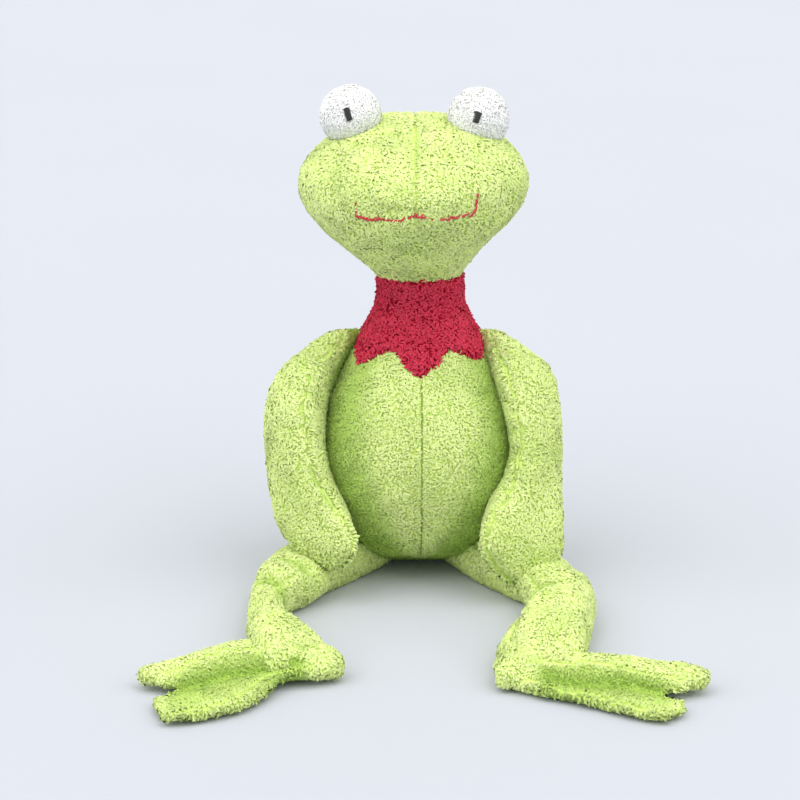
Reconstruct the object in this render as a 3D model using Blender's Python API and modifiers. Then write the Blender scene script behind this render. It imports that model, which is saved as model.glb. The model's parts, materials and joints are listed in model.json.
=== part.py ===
"""A seated plush frog of looped terry cloth, built from the pieces it is sewn from.

Metres, +Z up. The origin is the middle of the flat underside of the seat, and the frog faces -Y.
The left side is the side at -X, which a viewer in front of the frog sees on the left.
"""

import math

import bmesh
import bpy
from mathutils import Matrix, Vector
from mathutils.bvhtree import BVHTree

# Fits between the sewn pieces
FIT_GAP = 0.0003
SOCKET_GAP = 0.0006
SWING_GAP = 0.0004
FLOOR_CUT = 0.0005
WELD_DISTANCE = 0.000002
CUT_OVERRUN = 0.004
SWING_STEP_DEGREES = 15
CLOTH_THICKNESS = 0.003

# Trunk, which is the torso and the red neck drawn as one swelling form
TORSO_WIDTH = 0.100
TORSO_DEPTH = 0.088
NECK_SEAM_HEIGHT = 0.1535
# (height share of the neck seam, width share, depth share, forward share of the torso's depth)
TRUNK_SHARES = (
    (0.000, 0.20, 0.20, -0.09),
    (0.000, 0.34, 0.34, -0.09),
    (0.040, 0.56, 0.56, -0.08),
    (0.130, 0.78, 0.76, -0.04),
    (0.270, 0.97, 0.97, 0.02),
    (0.440, 1.03, 1.03, 0.05),
    (0.590, 0.93, 0.90, 0.02),
    (0.720, 0.78, 0.74, 0.00),
    (0.820, 0.66, 0.62, 0.00),
    (0.900, 0.48, 0.47, 0.00),
    (0.970, 0.42, 0.44, 0.00),
    (1.100, 0.45, 0.46, 0.00),
)
# Rows whose hollow is raised off the floor by the cloth, and the row where the zigzag seam runs
TRUNK_FLOOR_ROWS = 3
TRUNK_SEAM_ROW = 8

# Zigzag seam between the red neck and the torso
ZIGZAG_POINTS = 6
ZIGZAG_TIP_HEIGHT = 0.111
ZIGZAG_VALLEY_HEIGHT = 0.1225
ZIGZAG_REACH = 0.060

# Head
HEAD_WIDTH = 0.109
HEAD_DEPTH = 0.092
HEAD_HEIGHT = 0.078
HEAD_SHIFT_LEFT = 0.0045
# (height share above the neck seam, width share, depth share, forward share of the head's depth)
HEAD_SHARES = (
    (-0.080, 0.38, 0.44, 0.00),
    (0.040, 0.41, 0.48, 0.01),
    (0.150, 0.54, 0.62, 0.05),
    (0.290, 0.81, 0.86, 0.10),
    (0.450, 1.01, 1.02, 0.12),
    (0.620, 1.05, 1.06, 0.11),
    (0.780, 0.95, 0.96, 0.07),
    (0.910, 0.76, 0.76, 0.02),
    (1.000, 0.54, 0.52, -0.01),
    (1.020, 0.26, 0.26, -0.02),
)
# Rows whose hollow is lowered by the cloth
HEAD_CROWN_ROWS = 3

# Eyes: white balls sewn to the head's top, each with a stitched black bar.
# A ball's middle stands proud of the head's top.
EYE_RADIUS = 0.0155
EYE_SPREAD = 0.0308
EYE_SHIFT_LEFT = 0.0030
EYE_FORWARD = 0.005
EYE_PROUD = 0.0020
PUPIL_RADIUS = 0.0013
PUPIL_LENGTH = 0.0065
PUPIL_PROUD = 0.0004
# (turn to the frog's left, lift above level, lean of the bar's foot to the right), in degrees
PUPIL_AIM_DEGREES = {"left": (4, 10, 17), "right": (4, 8, -20)}
PUPIL_POINT_SHARES = (-0.50, -0.17, 0.17, 0.50)

# Mouth: a line of red stitching round the front of the head, above the neck seam
MOUTH_HALF_WIDTH = 0.0275
MOUTH_SHIFT_LEFT = 0.0026
MOUTH_RISE = 0.0400
MOUTH_CORNER_RISE = 0.0080
MOUTH_THREAD_RADIUS = 0.0009
MOUTH_PROUD = 0.0006
# (share of the half width to the right, share of the corner's rise)
MOUTH_SHARES = (
    (-1.02, 1.00),
    (-1.00, 0.05),
    (-0.75, 0.00),
    (-0.40, -0.02),
    (-0.10, 0.12),
    (0.02, 0.22),
    (0.15, 0.08),
    (0.50, 0.05),
    (0.78, 0.30),
    (0.98, 0.42),
    (1.02, 1.10),
)

# Arms: broad soft flippers that hang at the sides and curl round the belly
SHOULDER_SPREAD = 0.0400
SHOULDER_HEIGHT = 0.1185
SHOULDER_RADIUS = 0.0110
ARM_TOP_RISE = 0.0125
ARM_LENGTH = 0.1025
ARM_REACH = 0.0780
ARM_DEPTH = 0.0500
# (share of the way down, outer edge, inner edge as shares of the reach,
#  forward share and depth share of the arm's depth, turn to the front in degrees)
ARM_SHARES = {
    "left": (
        (0.00, 0.60, 0.42, 0.00, 0.40, 0),
        (0.08, 0.72, 0.41, 0.02, 0.62, 0),
        (0.20, 0.90, 0.50, 0.08, 0.84, 6),
        (0.36, 1.00, 0.59, 0.16, 0.98, 12),
        (0.56, 1.00, 0.61, 0.26, 1.02, 16),
        (0.72, 0.95, 0.56, 0.34, 0.98, 22),
        (0.86, 0.91, 0.47, 0.42, 0.92, 32),
        (0.96, 0.88, 0.41, 0.46, 0.76, 38),
        (1.01, 0.80, 0.48, 0.48, 0.44, 38),
    ),
    "right": (
        (0.00, 0.53, 0.42, 0.00, 0.40, 0),
        (0.08, 0.64, 0.41, 0.02, 0.62, 0),
        (0.20, 0.79, 0.45, 0.08, 0.84, 6),
        (0.36, 0.89, 0.50, 0.16, 0.98, 12),
        (0.56, 0.89, 0.53, 0.26, 1.04, 16),
        (0.72, 0.90, 0.50, 0.34, 1.02, 22),
        (0.86, 0.91, 0.42, 0.42, 0.96, 32),
        (0.96, 0.91, 0.36, 0.46, 0.82, 38),
        (1.01, 0.86, 0.44, 0.48, 0.50, 38),
    ),
}
ARM_LIFT_DEGREES = 75

# Legs: soft tubes that lie on the floor and zigzag out, in and out again
LEG_HALF_HEIGHT = 0.0135
HIP_SPREAD = 0.0370
HIP_FORWARD = 0.0060
HIP_RADIUS = 0.0145
KNEE_RADIUS = 0.0150
ANKLE_RADIUS = 0.0135
ANKLE_HALF_HEIGHT = 0.0120
THIGH_HALF_WIDTH = 0.0160
SHIN_HALF_WIDTH = 0.0158
KNEE_SPREAD = {"left": 0.0670, "right": 0.0680}
KNEE_FORWARD = {"left": 0.0630, "right": 0.0670}
ANKLE_SPREAD = {"left": 0.0560, "right": 0.0550}
ANKLE_FORWARD = {"left": 0.1370, "right": 0.1430}
THIGH_BOW = {"left": 0.0085, "right": 0.0060}
# Points along each limb, from joint to joint, and the half width at each
THIGH_ROUTE_SHARES = (-0.10, 0.12, 0.36, 0.60, 0.80, 0.90)
THIGH_WIDTH_SHARES = (0.55, 0.92, 1.06, 1.04, 0.98, 0.80)
SHIN_ROUTE_SHARES = (0.00, 0.18, 0.42, 0.66, 0.86, 0.94)
SHIN_WIDTH_SHARES = (0.70, 0.94, 0.98, 1.04, 1.08, 0.90)
LIMB_END_SHARE = 0.12
HIP_SWING_DEGREES = 30
KNEE_SWING_DEGREES = (-15, 45)
ANKLE_SWING_DEGREES = (-15, 45)

# Feet: flat webbed pads with three toes
FOOT_LENGTH = 0.0960
FOOT_WIDTH = 0.0400
FOOT_THICKNESS = 0.0170
FOOT_TURN_DEGREES = {"left": 76, "right": 79}
HEEL_BACK = 0.0220
HEEL_SIDE = 0.0073
# (length share from the heel, width, thickness and forward shares) of the pad up to the web
PAD_SHARES = (
    (0.00, 0.52, 0.90, 0.00),
    (0.08, 0.74, 1.25, 0.00),
    (0.25, 0.80, 1.30, 0.00),
    (0.45, 0.86, 1.05, 0.01),
    (0.62, 1.02, 0.90, 0.04),
    (0.76, 1.20, 0.80, 0.08),
)
PAD_UNDER_SHARE = 0.12
# Height shares of the lines along the pad: ridges over the toes and valleys between them
PAD_LINE_SHARES = (0.40, 1.00, 0.62, 1.00, 0.62, 1.00, 0.40)
TOE_SIDE_SHARES = {"left": (-0.12, -0.04, 0.14), "right": (-0.14, -0.02, 0.14)}
TOE_LENGTH_SHARES = {"left": (0.24, 0.14, 0.21), "right": (0.26, 0.17, 0.19)}
# (share of the toe's length, share of the web's width and thickness) of the rows of each toe
TOE_ROW_SHARES = ((0.45, 0.95), (1.00, 0.62))
TOES = 3

# Facets
ROUND_SIDES = 11
LIMB_SIDES = 7
INNER_SIDES = 10
FORM_LEVELS = 1
EYE_SEGMENTS = 20
JOINT_SEGMENTS = 14
TUBE_RESOLUTION = 1
FLAT_DEGREES = 4

# Colour, roughness and metallic value of each material
MATERIALS = {
    "green_terry": ((0.46, 0.68, 0.10), 0.95, 0.0),
    "red_terry": ((0.48, 0.012, 0.035), 0.95, 0.0),
    "white_terry": ((0.90, 0.89, 0.84), 0.95, 0.0),
    "black_thread": ((0.010, 0.010, 0.012), 0.60, 0.0),
    "red_thread": ((0.50, 0.015, 0.030), 0.60, 0.0),
    "white_filling": ((0.85, 0.85, 0.83), 1.00, 0.0),
}
SIDES = {"left": -1, "right": 1}


def clear_scene():
    for thing in list(bpy.data.objects):
        bpy.data.objects.remove(thing, do_unlink=True)


def new_collection(name):
    collection = bpy.data.collections.new(name)
    bpy.context.scene.collection.children.link(collection)
    return collection


def material(name):
    """The named cloth or thread, made once as a Principled material."""
    if name in bpy.data.materials:
        return bpy.data.materials[name]
    colour, roughness, metallic = MATERIALS[name]
    made = bpy.data.materials.new(name)
    made.use_nodes = True
    made.diffuse_color = (*colour, 1)
    shader = made.node_tree.nodes["Principled BSDF"]
    shader.inputs["Base Color"].default_value = (*colour, 1)
    shader.inputs["Roughness"].default_value = roughness
    shader.inputs["Metallic"].default_value = metallic
    return made


def new_object(name, mesh, collection):
    thing = bpy.data.objects.new(name, mesh)
    collection.objects.link(thing)
    return thing


def mesh_of(name, cage):
    mesh = bpy.data.meshes.new(name)
    bmesh.ops.recalc_face_normals(cage, faces=cage.faces[:])
    cage.to_mesh(mesh)
    cage.free()
    return mesh


def settle(thing):
    """Puts the result of the object's modifiers into its mesh."""
    graph = bpy.context.evaluated_depsgraph_get()
    thing.data = bpy.data.meshes.new_from_object(thing.evaluated_get(graph))
    thing.modifiers.clear()
    return thing


def smooth(thing, levels):
    subdivide = thing.modifiers.new("soft form", "SUBSURF")
    subdivide.levels = levels
    subdivide.render_levels = levels
    return settle(thing)


def ring(centre, side, up, half_side, half_up):
    """One cross-section: an ellipse round centre, half_side along side and half_up along up."""
    return centre, side, up, half_side, half_up


def loft(name, rings, sides, collection, levels=FORM_LEVELS):
    """A soft closed form through rings, from a coarse cage that subdivision rounds off.

    A subdivided ring draws in from its corners, so its cage is wider by that share. A plain one
    gets the same diagonals each time, so that a filling follows its hollow.
    """
    widen = 3 / (2 + math.cos(2 * math.pi / sides)) if levels else 1
    cage = bmesh.new()
    loops = []
    for centre, side, up, half_side, half_up in rings:
        loop = []
        for corner in range(sides):
            angle = 2 * math.pi * corner / sides
            across = side * (math.cos(angle) * half_side * widen)
            upward = up * (math.sin(angle) * half_up * widen)
            loop.append(cage.verts.new(centre + across + upward))
        loops.append(loop)
    for low, high in zip(loops, loops[1:]):
        for corner in range(sides):
            after = (corner + 1) % sides
            cage.faces.new((low[corner], low[after], high[after], high[corner]))
    cage.faces.new(loops[0])
    cage.faces.new(loops[-1])
    if not levels:
        bmesh.ops.triangulate(cage, faces=cage.faces[:], quad_method="FIXED")
    return smooth(new_object(name, mesh_of(name, cage), collection), levels)


def ball(name, centre, radius, collection, half_height=None, segments=JOINT_SEGMENTS):
    """A ball, or one flattened to half_height, which is still round about the vertical."""
    cage = bmesh.new()
    flatten = (half_height or radius) / radius
    place = Matrix.Translation(centre) @ Matrix.Diagonal((1, 1, flatten, 1))
    bmesh.ops.create_uvsphere(
        cage, u_segments=segments, v_segments=segments // 2, radius=radius, matrix=place
    )
    return new_object(name, mesh_of(name, cage), collection)


def block(name, low, high, collection):
    cage = bmesh.new()
    size = high - low
    place = Matrix.Translation((low + high) / 2) @ Matrix.Diagonal((*size, 1))
    bmesh.ops.create_cube(cage, size=1, matrix=place)
    return new_object(name, mesh_of(name, cage), collection)


def tube(name, points, radius, collection):
    """A thread of round section through points, made a mesh so that it can be cut."""
    curve = bpy.data.curves.new(name, "CURVE")
    curve.dimensions = "3D"
    curve.bevel_depth = radius
    curve.bevel_resolution = TUBE_RESOLUTION
    curve.use_fill_caps = True
    spline = curve.splines.new("POLY")
    spline.points.add(len(points) - 1)
    for spot, point in zip(spline.points, points):
        spot.co = (*point, 1)
    guide = new_object(name + "_guide", curve, collection)
    graph = bpy.context.evaluated_depsgraph_get()
    mesh = bpy.data.meshes.new_from_object(guide.evaluated_get(graph))
    bpy.data.objects.remove(guide, do_unlink=True)
    welded = bmesh.new()
    welded.from_mesh(mesh)
    bmesh.ops.remove_doubles(welded, verts=welded.verts[:], dist=WELD_DISTANCE)
    return new_object(name, mesh_of(name, welded), collection)


def boolean(thing, other, operation):
    step = thing.modifiers.new(operation.lower(), "BOOLEAN")
    step.operation = operation
    step.object = other
    return weld(settle(thing))


def plain(thing):
    """Merges faces that lie in nearly one plane, which cuts leave in number."""
    cage = bmesh.new()
    cage.from_mesh(thing.data)
    flat = math.radians(FLAT_DEGREES)
    bmesh.ops.dissolve_limit(cage, angle_limit=flat, verts=cage.verts[:], edges=cage.edges[:])
    bmesh.ops.triangulate(cage, faces=cage.faces[:])
    cage.to_mesh(thing.data)
    cage.free()
    return thing


def weld(thing):
    """Joins the corners that a cut leaves closer than any real feature."""
    cage = bmesh.new()
    cage.from_mesh(thing.data)
    bmesh.ops.remove_doubles(cage, verts=cage.verts[:], dist=WELD_DISTANCE)
    cage.to_mesh(thing.data)
    cage.free()
    return thing


def cut(thing, cutter):
    return boolean(thing, cutter, "DIFFERENCE")


def copy_of(thing, name, collection):
    return new_object(name, thing.data.copy(), collection)


def grow(thing, distance):
    """Moves every vertex out along its normal."""
    cage = bmesh.new()
    cage.from_mesh(thing.data)
    cage.normal_update()
    for vert in cage.verts:
        vert.co += vert.normal * distance
    cage.to_mesh(thing.data)
    cage.free()
    return thing


def hide(thing):
    thing.hide_render = True
    thing.display_type = "WIRE"
    return thing


def cut_by_neighbour(thing, neighbour, tools, gap=FIT_GAP):
    cutter = hide(grow(copy_of(neighbour, f"{thing.name}_from_{neighbour.name}", tools), gap))
    return cut(thing, cutter)


def cut_for_swing(thing, fixed, pivot, axis, degrees, tools):
    """Cuts from a swinging piece the room that the fixed one takes at each step of the swing.

    The fixed piece comes without its socket, and the round root is joined on afterwards.
    """
    for angle in degrees:
        cutter = grow(copy_of(fixed, f"{thing.name}_swing_{angle}", tools), SWING_GAP)
        turn = Matrix.Rotation(math.radians(-angle), 4, axis)
        cutter.data.transform(Matrix.Translation(pivot) @ turn @ Matrix.Translation(-pivot))
        cut(thing, hide(cutter))
    return thing


def steps(low, high):
    """Angles from low to high, by the swing step, with both ends."""
    angles = list(range(low, high, SWING_STEP_DEGREES))
    return angles + [high]


def lower_to_floor(thing):
    """Lowers or lifts a resting form until it dips by the floor cut, which comes off flat later."""
    lowest = min(vert.co.z for vert in thing.data.vertices)
    thing.data.transform(Matrix.Translation((0, 0, -FLOOR_CUT - lowest)))
    return thing


def floor_block(tools):
    """Everything that lies below the floor, as a cutter."""
    name = "below_floor"
    if name in bpy.data.objects:
        return bpy.data.objects[name]
    reach = 2 * (FOOT_LENGTH + TORSO_WIDTH)
    low = Vector((-reach, -reach, -CUT_OVERRUN - TORSO_WIDTH))
    return hide(block(name, low, Vector((reach, reach, 0)), tools))


def finish(thing, slot):
    """Gives a piece its cloth, with soft shading between its facets."""
    thing.data.materials.clear()
    thing.data.materials.append(material(slot))
    thing.data.shade_smooth()
    thing.data.set_sharp_from_angle(angle=math.radians(45))
    return thing


def put_origin(thing, pivot):
    """Moves the object's origin to its joint without moving the piece."""
    thing.data.transform(Matrix.Translation(-pivot))
    thing.location = pivot
    return thing


def trunk_form(name, shrink, collection, sides=ROUND_SIDES, levels=FORM_LEVELS):
    """Torso and neck in one form, drawn in by shrink all round, that dips by the floor cut."""
    rings = []
    for row, (height, width, depth, forward) in enumerate(TRUNK_SHARES):
        level = height * NECK_SEAM_HEIGHT - FLOOR_CUT
        if row < TRUNK_FLOOR_ROWS:
            level += shrink
        rings.append(
            ring(
                Vector((0, -forward * TORSO_DEPTH, level)),
                Vector((1, 0, 0)),
                Vector((0, 1, 0)),
                width * TORSO_WIDTH / 2 - shrink,
                depth * TORSO_DEPTH / 2 - shrink,
            )
        )
    return loft(name, rings, sides, collection, levels)


def zigzag_crown(name, drop, tools):
    """What lies above the zigzag seam: a round block whose underside runs up and down in points."""
    cage = bmesh.new()
    tall = 2 * NECK_SEAM_HEIGHT
    bmesh.ops.create_cone(
        cage,
        cap_ends=True,
        cap_tris=True,
        segments=2 * ZIGZAG_POINTS,
        radius1=ZIGZAG_REACH,
        radius2=ZIGZAG_REACH,
        depth=tall,
        matrix=Matrix.Translation((0, 0, tall / 2)),
    )
    rim_angle = math.pi / ZIGZAG_POINTS
    for vert in cage.verts:
        if vert.co.z > NECK_SEAM_HEIGHT:
            continue
        middle = math.hypot(vert.co.x, vert.co.y) < ZIGZAG_REACH / 2
        turn = round((math.atan2(vert.co.y, vert.co.x) + math.pi / 2) / rim_angle)
        if middle:
            vert.co.z = (ZIGZAG_TIP_HEIGHT + ZIGZAG_VALLEY_HEIGHT) / 2 - drop
        elif turn % 2:
            vert.co.z = ZIGZAG_VALLEY_HEIGHT - drop + zigzag_slope()
        else:
            vert.co.z = ZIGZAG_TIP_HEIGHT - drop - zigzag_slope()
    return hide(new_object(name, mesh_of(name, cage), tools))


def zigzag_slope():
    """How much further the crown's rim runs than the cloth, so that tips and valleys land on it."""
    neck_radius = TORSO_WIDTH / 2 * TRUNK_SHARES[TRUNK_SEAM_ROW][1]
    half = (ZIGZAG_VALLEY_HEIGHT - ZIGZAG_TIP_HEIGHT) / 2
    return half * (ZIGZAG_REACH / neck_radius - 1)


def make_trunk(parts, tools):
    """The torso's cover and filling and the red neck, parted at the zigzag seam.

    The whole trunk comes with them as one solid, for cutting the limbs.
    """
    seam_top = block(
        "above_neck_seam",
        Vector((-TORSO_WIDTH, -TORSO_WIDTH, NECK_SEAM_HEIGHT)),
        Vector((TORSO_WIDTH, TORSO_WIDTH, 2 * NECK_SEAM_HEIGHT)),
        tools,
    )
    cover = cut(trunk_form("torso_cover", 0, parts), hide(seam_top))
    cut(cover, floor_block(tools))
    trunk = hide(copy_of(cover, "trunk", tools))
    neck = copy_of(cover, "neck_panel", parts)
    boolean(neck, zigzag_crown("crown_of_neck", 0, tools), "INTERSECT")
    crown = zigzag_crown("crown_of_torso", FIT_GAP, tools)
    cut(cover, crown)
    cut(cover, hide(trunk_form("torso_hollow", CLOTH_THICKNESS, tools, INNER_SIDES, 0)))
    inside = CLOTH_THICKNESS + FIT_GAP
    filling = trunk_form("torso_filling", inside, parts, INNER_SIDES, 0)
    cut(filling, crown)
    return cover, filling, neck, trunk


def head_form(name, shrink, collection, sides=ROUND_SIDES, levels=FORM_LEVELS):
    rings = []
    for row, (height, width, depth, forward) in enumerate(HEAD_SHARES):
        level = NECK_SEAM_HEIGHT + height * HEAD_HEIGHT
        if row >= len(HEAD_SHARES) - HEAD_CROWN_ROWS:
            level -= shrink
        rings.append(
            ring(
                Vector((-HEAD_SHIFT_LEFT * min(1, max(0, height)), -forward * HEAD_DEPTH, level)),
                Vector((1, 0, 0)),
                Vector((0, 1, 0)),
                width * HEAD_WIDTH / 2 - shrink,
                depth * HEAD_DEPTH / 2 - shrink,
            )
        )
    return loft(name, rings, sides, collection, levels)


def make_head(parts, tools):
    """The head's cover, open at the neck, its filling, and both as one solid for cutting."""
    reach = Vector((HEAD_WIDTH, HEAD_WIDTH, 0))
    seam = Vector((0, 0, NECK_SEAM_HEIGHT + FIT_GAP))
    below = hide(block("below_head", -reach, seam + reach, tools))
    cover = cut(head_form("head_cover", 0, parts), below)
    solid = hide(copy_of(cover, "head_solid", tools))
    cut(cover, hide(head_form("head_hollow", CLOTH_THICKNESS, tools, INNER_SIDES, 0)))
    filling = head_form("head_filling", CLOTH_THICKNESS + FIT_GAP, parts, INNER_SIDES, 0)
    return cover, cut(filling, below), solid


def eye_centre(side):
    across = SIDES[side] * EYE_SPREAD - EYE_SHIFT_LEFT
    return Vector((across, -EYE_FORWARD, NECK_SEAM_HEIGHT + HEAD_HEIGHT + EYE_PROUD))


def make_eye(side, head, parts, tools):
    eye = ball(f"eye_{side}", eye_centre(side), EYE_RADIUS, parts, segments=EYE_SEGMENTS)
    return cut_by_neighbour(eye, head, tools)


def make_pupil(side, eye, parts, tools):
    """A short stitched bar that follows the front of the eye."""
    turn, lift, lean = (math.radians(angle) for angle in PUPIL_AIM_DEGREES[side])
    middle = Vector((-math.sin(turn), -math.cos(turn), math.tan(lift))).normalized()
    down = Vector((math.sin(lean), 0, -math.cos(lean)))
    down = (down - middle * down.dot(middle)).normalized()
    points = []
    for share in PUPIL_POINT_SHARES:
        angle = share * PUPIL_LENGTH / EYE_RADIUS
        outward = middle * math.cos(angle) + down * math.sin(angle)
        points.append(eye_centre(side) + outward * (EYE_RADIUS + PUPIL_PROUD))
    pupil = tube(f"pupil_{side}", points, PUPIL_RADIUS, parts)
    return cut_by_neighbour(pupil, eye, tools)


def make_mouth(head, parts, tools):
    """The stitched line, laid on the front of the head where a level ray meets it."""
    surface = BVHTree.FromPolygons(
        [vert.co.copy() for vert in head.data.vertices],
        [tuple(face.vertices) for face in head.data.polygons],
    )
    points = []
    for across, rise in MOUTH_SHARES:
        start = Vector((
            across * MOUTH_HALF_WIDTH - MOUTH_SHIFT_LEFT,
            -HEAD_DEPTH,
            NECK_SEAM_HEIGHT + MOUTH_RISE + rise * MOUTH_CORNER_RISE,
        ))
        spot, normal, _, _ = surface.ray_cast(start, Vector((0, 1, 0)))
        points.append(spot + normal * MOUTH_PROUD)
    mouth = tube("mouth_thread", points, MOUTH_THREAD_RADIUS, parts)
    return cut_by_neighbour(mouth, head, tools)


def shoulder_pivot(side):
    return Vector((SIDES[side] * SHOULDER_SPREAD, 0, SHOULDER_HEIGHT))


def arm_form(side, collection):
    sign = SIDES[side]
    rings = []
    for down, outer, inner, forward, depth, turn in ARM_SHARES[side]:
        level = SHOULDER_HEIGHT + ARM_TOP_RISE - down * ARM_LENGTH
        middle = sign * ARM_REACH * (outer + inner) / 2
        tilt = Matrix.Rotation(math.radians(-sign * turn), 3, "Z")
        rings.append(
            ring(
                Vector((middle, -forward * ARM_DEPTH, level)),
                tilt @ Vector((1, 0, 0)),
                tilt @ Vector((0, 1, 0)),
                ARM_REACH * (outer - inner) / 2,
                ARM_DEPTH * depth / 2,
            )
        )
    return loft(f"arm_{side}", rings, LIMB_SIDES, collection)


def sink_socket(pieces, name, pivot, radius, tools, half_height=None):
    """Room in the pieces for the round root of a limb, with the socket's gap all round."""
    tall = (half_height or radius) + SOCKET_GAP
    socket = hide(ball(name, pivot, radius + SOCKET_GAP, tools, tall))
    for piece in pieces:
        cut(piece, socket)


def join_root(limb_piece, name, pivot, radius, tools, half_height=None):
    boolean(limb_piece, hide(ball(name, pivot, radius, tools, half_height)), "UNION")


def make_arm(side, trunk_pieces, trunk, parts, tools):
    """A flipper with a round root that sits in the torso's shoulder seam."""
    pivot = shoulder_pivot(side)
    sink_socket(trunk_pieces, f"shoulder_room_{side}", pivot, SHOULDER_RADIUS, tools)
    arm = arm_form(side, parts)
    lift = [-SIDES[side] * angle for angle in steps(0, ARM_LIFT_DEGREES)]
    cut_for_swing(arm, trunk, pivot, "Y", lift, tools)
    join_root(plain(arm), f"shoulder_root_{side}", pivot, SHOULDER_RADIUS, tools)
    return arm


def floor_place(side, spread, forward, half_height):
    return Vector((SIDES[side] * spread, -forward, half_height - FLOOR_CUT))


def leg_places(side):
    """Hip, knee and ankle, each at the middle of its joint's thickness."""
    hip = floor_place(side, HIP_SPREAD, HIP_FORWARD, LEG_HALF_HEIGHT)
    knee = floor_place(side, KNEE_SPREAD[side], KNEE_FORWARD[side], LEG_HALF_HEIGHT)
    ankle = floor_place(side, ANKLE_SPREAD[side], ANKLE_FORWARD[side], ANKLE_HALF_HEIGHT)
    return hip, knee, ankle


def limb(name, route, half_widths, collection):
    """A flattened tube along the floor, with a rounded start and end."""
    rings = []
    for index, (spot, half_width) in enumerate(zip(route, half_widths)):
        before = route[max(0, index - 1)]
        after = route[min(len(route) - 1, index + 1)]
        along = (after - before).normalized()
        across = along.cross(Vector((0, 0, 1))).normalized()
        half_height = LEG_HALF_HEIGHT * min(1, half_width / max(half_widths) + LIMB_END_SHARE)
        rings.append(ring(spot, across, Vector((0, 0, 1)), half_width, half_height))
    return loft(name, rings, LIMB_SIDES, collection)


def bowed(start, end, bow, shares):
    """Points from start to end that swing out sideways by bow at the middle."""
    across = (end - start).cross(Vector((0, 0, 1))).normalized()
    return [start.lerp(end, share) + across * bow * 4 * share * (1 - share) for share in shares]


def make_thigh(side, trunk_pieces, trunk, parts, tools):
    hip, knee, _ = leg_places(side)
    sign = SIDES[side]
    route = bowed(hip, knee, sign * THIGH_BOW[side], THIGH_ROUTE_SHARES)
    widths = [THIGH_HALF_WIDTH * share for share in THIGH_WIDTH_SHARES]
    thigh = limb(f"thigh_{side}", route, widths, parts)
    sink_socket(trunk_pieces, f"hip_room_{side}", hip, HIP_RADIUS, tools, LEG_HALF_HEIGHT)
    swing = [sign * angle for angle in steps(0, HIP_SWING_DEGREES)]
    cut_for_swing(thigh, trunk, hip, "Z", swing, tools)
    join_root(plain(thigh), f"hip_root_{side}", hip, HIP_RADIUS, tools, LEG_HALF_HEIGHT)
    blank = hide(copy_of(thigh, f"thigh_blank_{side}", tools))
    sink_socket((thigh,), f"knee_room_{side}", knee, KNEE_RADIUS, tools, LEG_HALF_HEIGHT)
    return cut(thigh, floor_block(tools)), blank


def make_shin(side, thigh_blank, parts, tools):
    _, knee, ankle = leg_places(side)
    sign = SIDES[side]
    route = bowed(knee, ankle, 0, SHIN_ROUTE_SHARES)
    widths = [SHIN_HALF_WIDTH * share for share in SHIN_WIDTH_SHARES]
    shin = limb(f"shin_{side}", route, widths, parts)
    swing = [sign * angle for angle in steps(*KNEE_SWING_DEGREES)]
    cut_for_swing(shin, thigh_blank, knee, "Z", swing, tools)
    join_root(plain(shin), f"knee_root_{side}", knee, KNEE_RADIUS, tools, LEG_HALF_HEIGHT)
    blank = hide(copy_of(shin, f"shin_blank_{side}", tools))
    sink_socket((shin,), f"ankle_room_{side}", ankle, ANKLE_RADIUS, tools, ANKLE_HALF_HEIGHT)
    return cut(shin, floor_block(tools)), blank


def foot_form(side, ankle, collection):
    """The webbed pad: rows across it from heel to web, then three toes drawn out of the last row."""
    sign = SIDES[side]
    turn = math.radians(FOOT_TURN_DEGREES[side])
    along = Vector((sign * math.sin(turn), -math.cos(turn), 0))
    across = Vector((-along.y, along.x, 0)) * -sign
    heel = Vector((ankle.x, ankle.y, 0)) - along * HEEL_BACK + across * HEEL_SIDE
    lines = len(PAD_LINE_SHARES)
    cage = bmesh.new()

    def row(share, width, thickness, sideways, first=0, last=lines - 1):
        """One row of the cage: top vertices of its lines, then the bottom ones."""
        top = []
        bottom = []
        for line in range(first, last + 1):
            place = (2 * line / (lines - 1) - 1) * width * FOOT_WIDTH / 2 + sideways * FOOT_WIDTH
            spot = heel + along * share * FOOT_LENGTH + across * place
            height = thickness * FOOT_THICKNESS
            lift = height * PAD_LINE_SHARES[line]
            top.append(cage.verts.new(spot + Vector((0, 0, lift))))
            bottom.append(cage.verts.new(spot - Vector((0, 0, height * PAD_UNDER_SHARE))))
        return top, bottom

    def join(near, far):
        for (a, b), (c, d) in zip(zip(near[0], near[0][1:]), zip(far[0], far[0][1:])):
            cage.faces.new((a, b, d, c))
        for (a, b), (c, d) in zip(zip(near[1], near[1][1:]), zip(far[1], far[1][1:])):
            cage.faces.new((b, a, c, d))
        for end in (0, -1):
            cage.faces.new((near[0][end], far[0][end], far[1][end], near[1][end]))

    def cap(which):
        for line in range(len(which[0]) - 1):
            cage.faces.new((which[0][line], which[0][line + 1], which[1][line + 1], which[1][line]))

    rows = [row(*shares) for shares in PAD_SHARES]
    for near, far in zip(rows, rows[1:]):
        join(near, far)
    cap(rows[0])
    web_share, web_width, web_thickness, web_side = PAD_SHARES[-1]
    for toe in range(TOES):
        first = 2 * toe
        last = first + 2
        root = (rows[-1][0][first:last + 1], rows[-1][1][first:last + 1])
        sideways = TOE_SIDE_SHARES[side][toe]
        length = TOE_LENGTH_SHARES[side][toe]
        for reach, narrow in TOE_ROW_SHARES:
            centre = (2 * (first + 1) / (lines - 1) - 1) * web_width / 2 * (1 - narrow)
            tip = row(
                web_share + reach * length,
                web_width * narrow,
                web_thickness * narrow,
                web_side + sideways * reach + centre,
                first,
                last,
            )
            join(root, tip)
            root = tip
        cap(root)
    name = f"foot_{side}"
    return smooth(new_object(name, mesh_of(name, cage), collection), FORM_LEVELS)


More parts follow.
